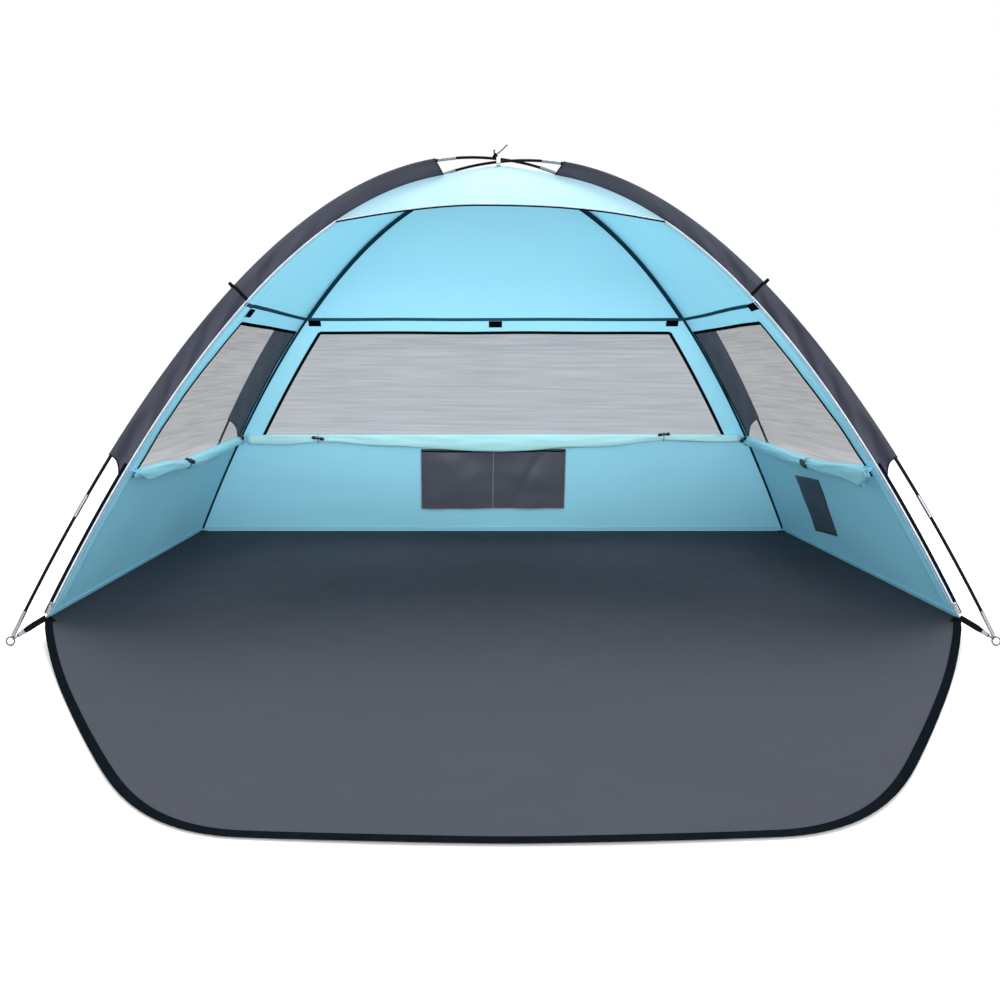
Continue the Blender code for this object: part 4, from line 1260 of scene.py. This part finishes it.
def make_apex_tie(low, high):
    """White tape from the canopy's top round the crossing poles, between two heights."""
    foot = ridge("front_left", 0.010).z + 0.0025
    half, squareness = 0.0104, 0.55
    stem = [Vector((0.0, y, foot)) for y in spaced(-0.016, 0.0, 5)]
    stem += [Vector((0.0, 0.0, z)) for z in spaced(foot + 0.002, low - 0.001, 6)]
    loop = []
    for angle in spaced(-90.0, 270.0, 33):
        across, up = math.cos(math.radians(angle)), math.sin(math.radians(angle))
        y = half * math.copysign(abs(across) ** squareness, across)
        z = (high - low) / 2 * math.copysign(abs(up) ** squareness, up)
        loop.append(Vector((0.0, y, (low + high) / 2 + z)))
    right = Vector((1.0, 0.0, 0.0))
    pieces = [strip(f"apex_{name}", wrapped_stations(path, right), 0.0062, 0.0007, TIE)
              for name, path in (("stem", stem), ("loop", loop))]
    place(merged("apex_tie_tape", pieces), "tie_tape", "apex_tie")


def make_apex():
    """The tie round the crossing poles, and the knot over it with its two loose tails."""
    low = CROSSING_HEIGHT - 2 * POLE_RISE - 0.0016
    high = CROSSING_HEIGHT + 2 * POLE_RISE + 0.0016
    make_apex_tie(low, high)
    knot_at = Vector((-0.010, -0.006, high + 0.004))
    wraps = []
    for turn, (tilt, offset) in enumerate(((0.5, -0.002), (-0.6, 0.0022), (1.5, 0.0))):
        right = Vector((math.cos(tilt), 0.3, math.sin(tilt))).normalized()
        other = square_to(Vector((0.2, -1.0, 0.3)), right)
        wraps.append(wire_ring(f"apex_knot_{turn}", knot_at + right * offset, right, other, 0.0048,
                               0.0026, WEBBING))
    place(merged("apex_knot", wraps))
    tails = {
        "left": ((-0.010, -0.007, 0.004), (-0.013, -0.010, 0.009), (-0.014, -0.012, 0.014),
                 (-0.012, -0.013, 0.019)),
        "right": ((-0.008, -0.006, 0.005), (0.004, -0.009, 0.013), (0.015, -0.010, 0.022),
                  (0.022, -0.010, 0.030), (0.028, -0.011, 0.034)),
    }
    for (name, points), material, slot in zip(tails.items(), (WEBBING, TAIL), ("webbing", "tie_tape")):
        path = [Vector((x, y, high + z)) for x, y, z in points]
        facings = [square_to(Vector((0.0, -1.0, 0.25)), way) for way in directions(path)]
        place(strip(f"apex_tail_{name}", facing_stations(path, facings), 0.0022, 0.0008, material),
              slot)


# ---- Assembly ----

for pole_name in POLES:
    cord_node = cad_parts[f"shock_cord_{pole_name}"]
    cord_node.data.materials.clear()
    cord_node.data.materials.append(CORD)

make_brow()
make_walls()
make_ridge_bindings()
make_front_edges()
make_tabs()
make_ground_sheet()
for wall in WINDOWS:
    make_roll(wall)
make_pocket()
make_patch()
make_poles()
for shelter_corner in CORNERS:
    make_sleeve(shelter_corner)
    make_ring_pin(shelter_corner)
    make_strap(shelter_corner)
    make_corner_patch(shelter_corner)
make_sliders()
make_apex()


# ---- Studio ----


def make_stage():
    reach, below = 60.0, -0.001
    mesh = bpy.data.meshes.new("studio_floor")
    mesh.from_pydata([(reach * x, reach * y, below) for x, y in ((-1, -1), (1, -1), (1, 1), (-1, 1))],
                     [], [(0, 1, 2, 3)])
    nodes = Nodes("studio_floor")
    ball = nodes.add("ShaderNodeTexGradient", {"Vector": nodes.place("Object", (0.2, 0.2, 0.2))},
                     gradient_type="SPHERICAL")
    nodes.link(nodes.mixed(ball.outputs["Fac"], (0.60, 0.60, 0.60), (1.0, 1.0, 1.0)), "Base Color")
    nodes.set(Roughness=0.9, Specular_IOR_Level=0.0)
    add_mesh("studio_floor", mesh, nodes.material)


def make_light(name, location, aim, size, power):
    data = bpy.data.lights.new(name, "AREA")
    data.shape = "RECTANGLE"
    data.size, data.size_y = size
    data.energy = power
    light = bpy.data.objects.new(name, data)
    light.location = location
    light.rotation_euler = (Vector(aim) - Vector(location)).to_track_quat("-Z", "Y").to_euler()
    SCENE.collection.objects.link(light)


def make_sun(name, towards, strength, spread):
    """Even light from one direction, as from a large distant softbox."""
    data = bpy.data.lights.new(name, "SUN")
    data.energy = strength
    data.angle = math.radians(spread)
    light = bpy.data.objects.new(name, data)
    light.rotation_euler = Vector(towards).to_track_quat("Z", "Y").to_euler()
    SCENE.collection.objects.link(light)


def make_studio():
    world = bpy.data.worlds.new("studio")
    world.use_nodes = True
    background = world.node_tree.nodes["Background"]
    background.inputs["Color"].default_value = (1.0, 1.0, 1.0, 1.0)
    background.inputs["Strength"].default_value = 1.0
    SCENE.world = world
    SCENE.view_settings.view_transform = "Standard"
    make_sun("overhead", (0.0, 0.33, 1.0), 2.6, 40.0)
    make_light("key", (0.7, -4.4, 1.7), (-0.1, 0.4, 0.45), (5.0, 2.2), 120.0)
    make_stage()
    data = bpy.data.cameras.new("camera")
    data.sensor_width = 36.0
    data.lens = 33.29
    data.shift_x = 0.0255
    data.clip_end = 200.0
    camera = bpy.data.objects.new("camera", data)
    camera.location = (-0.0745, -3.031, 0.780)
    camera.rotation_euler = (math.radians(80.122), 0.0, 0.0)
    SCENE.collection.objects.link(camera)
    SCENE.camera = camera


make_studio()
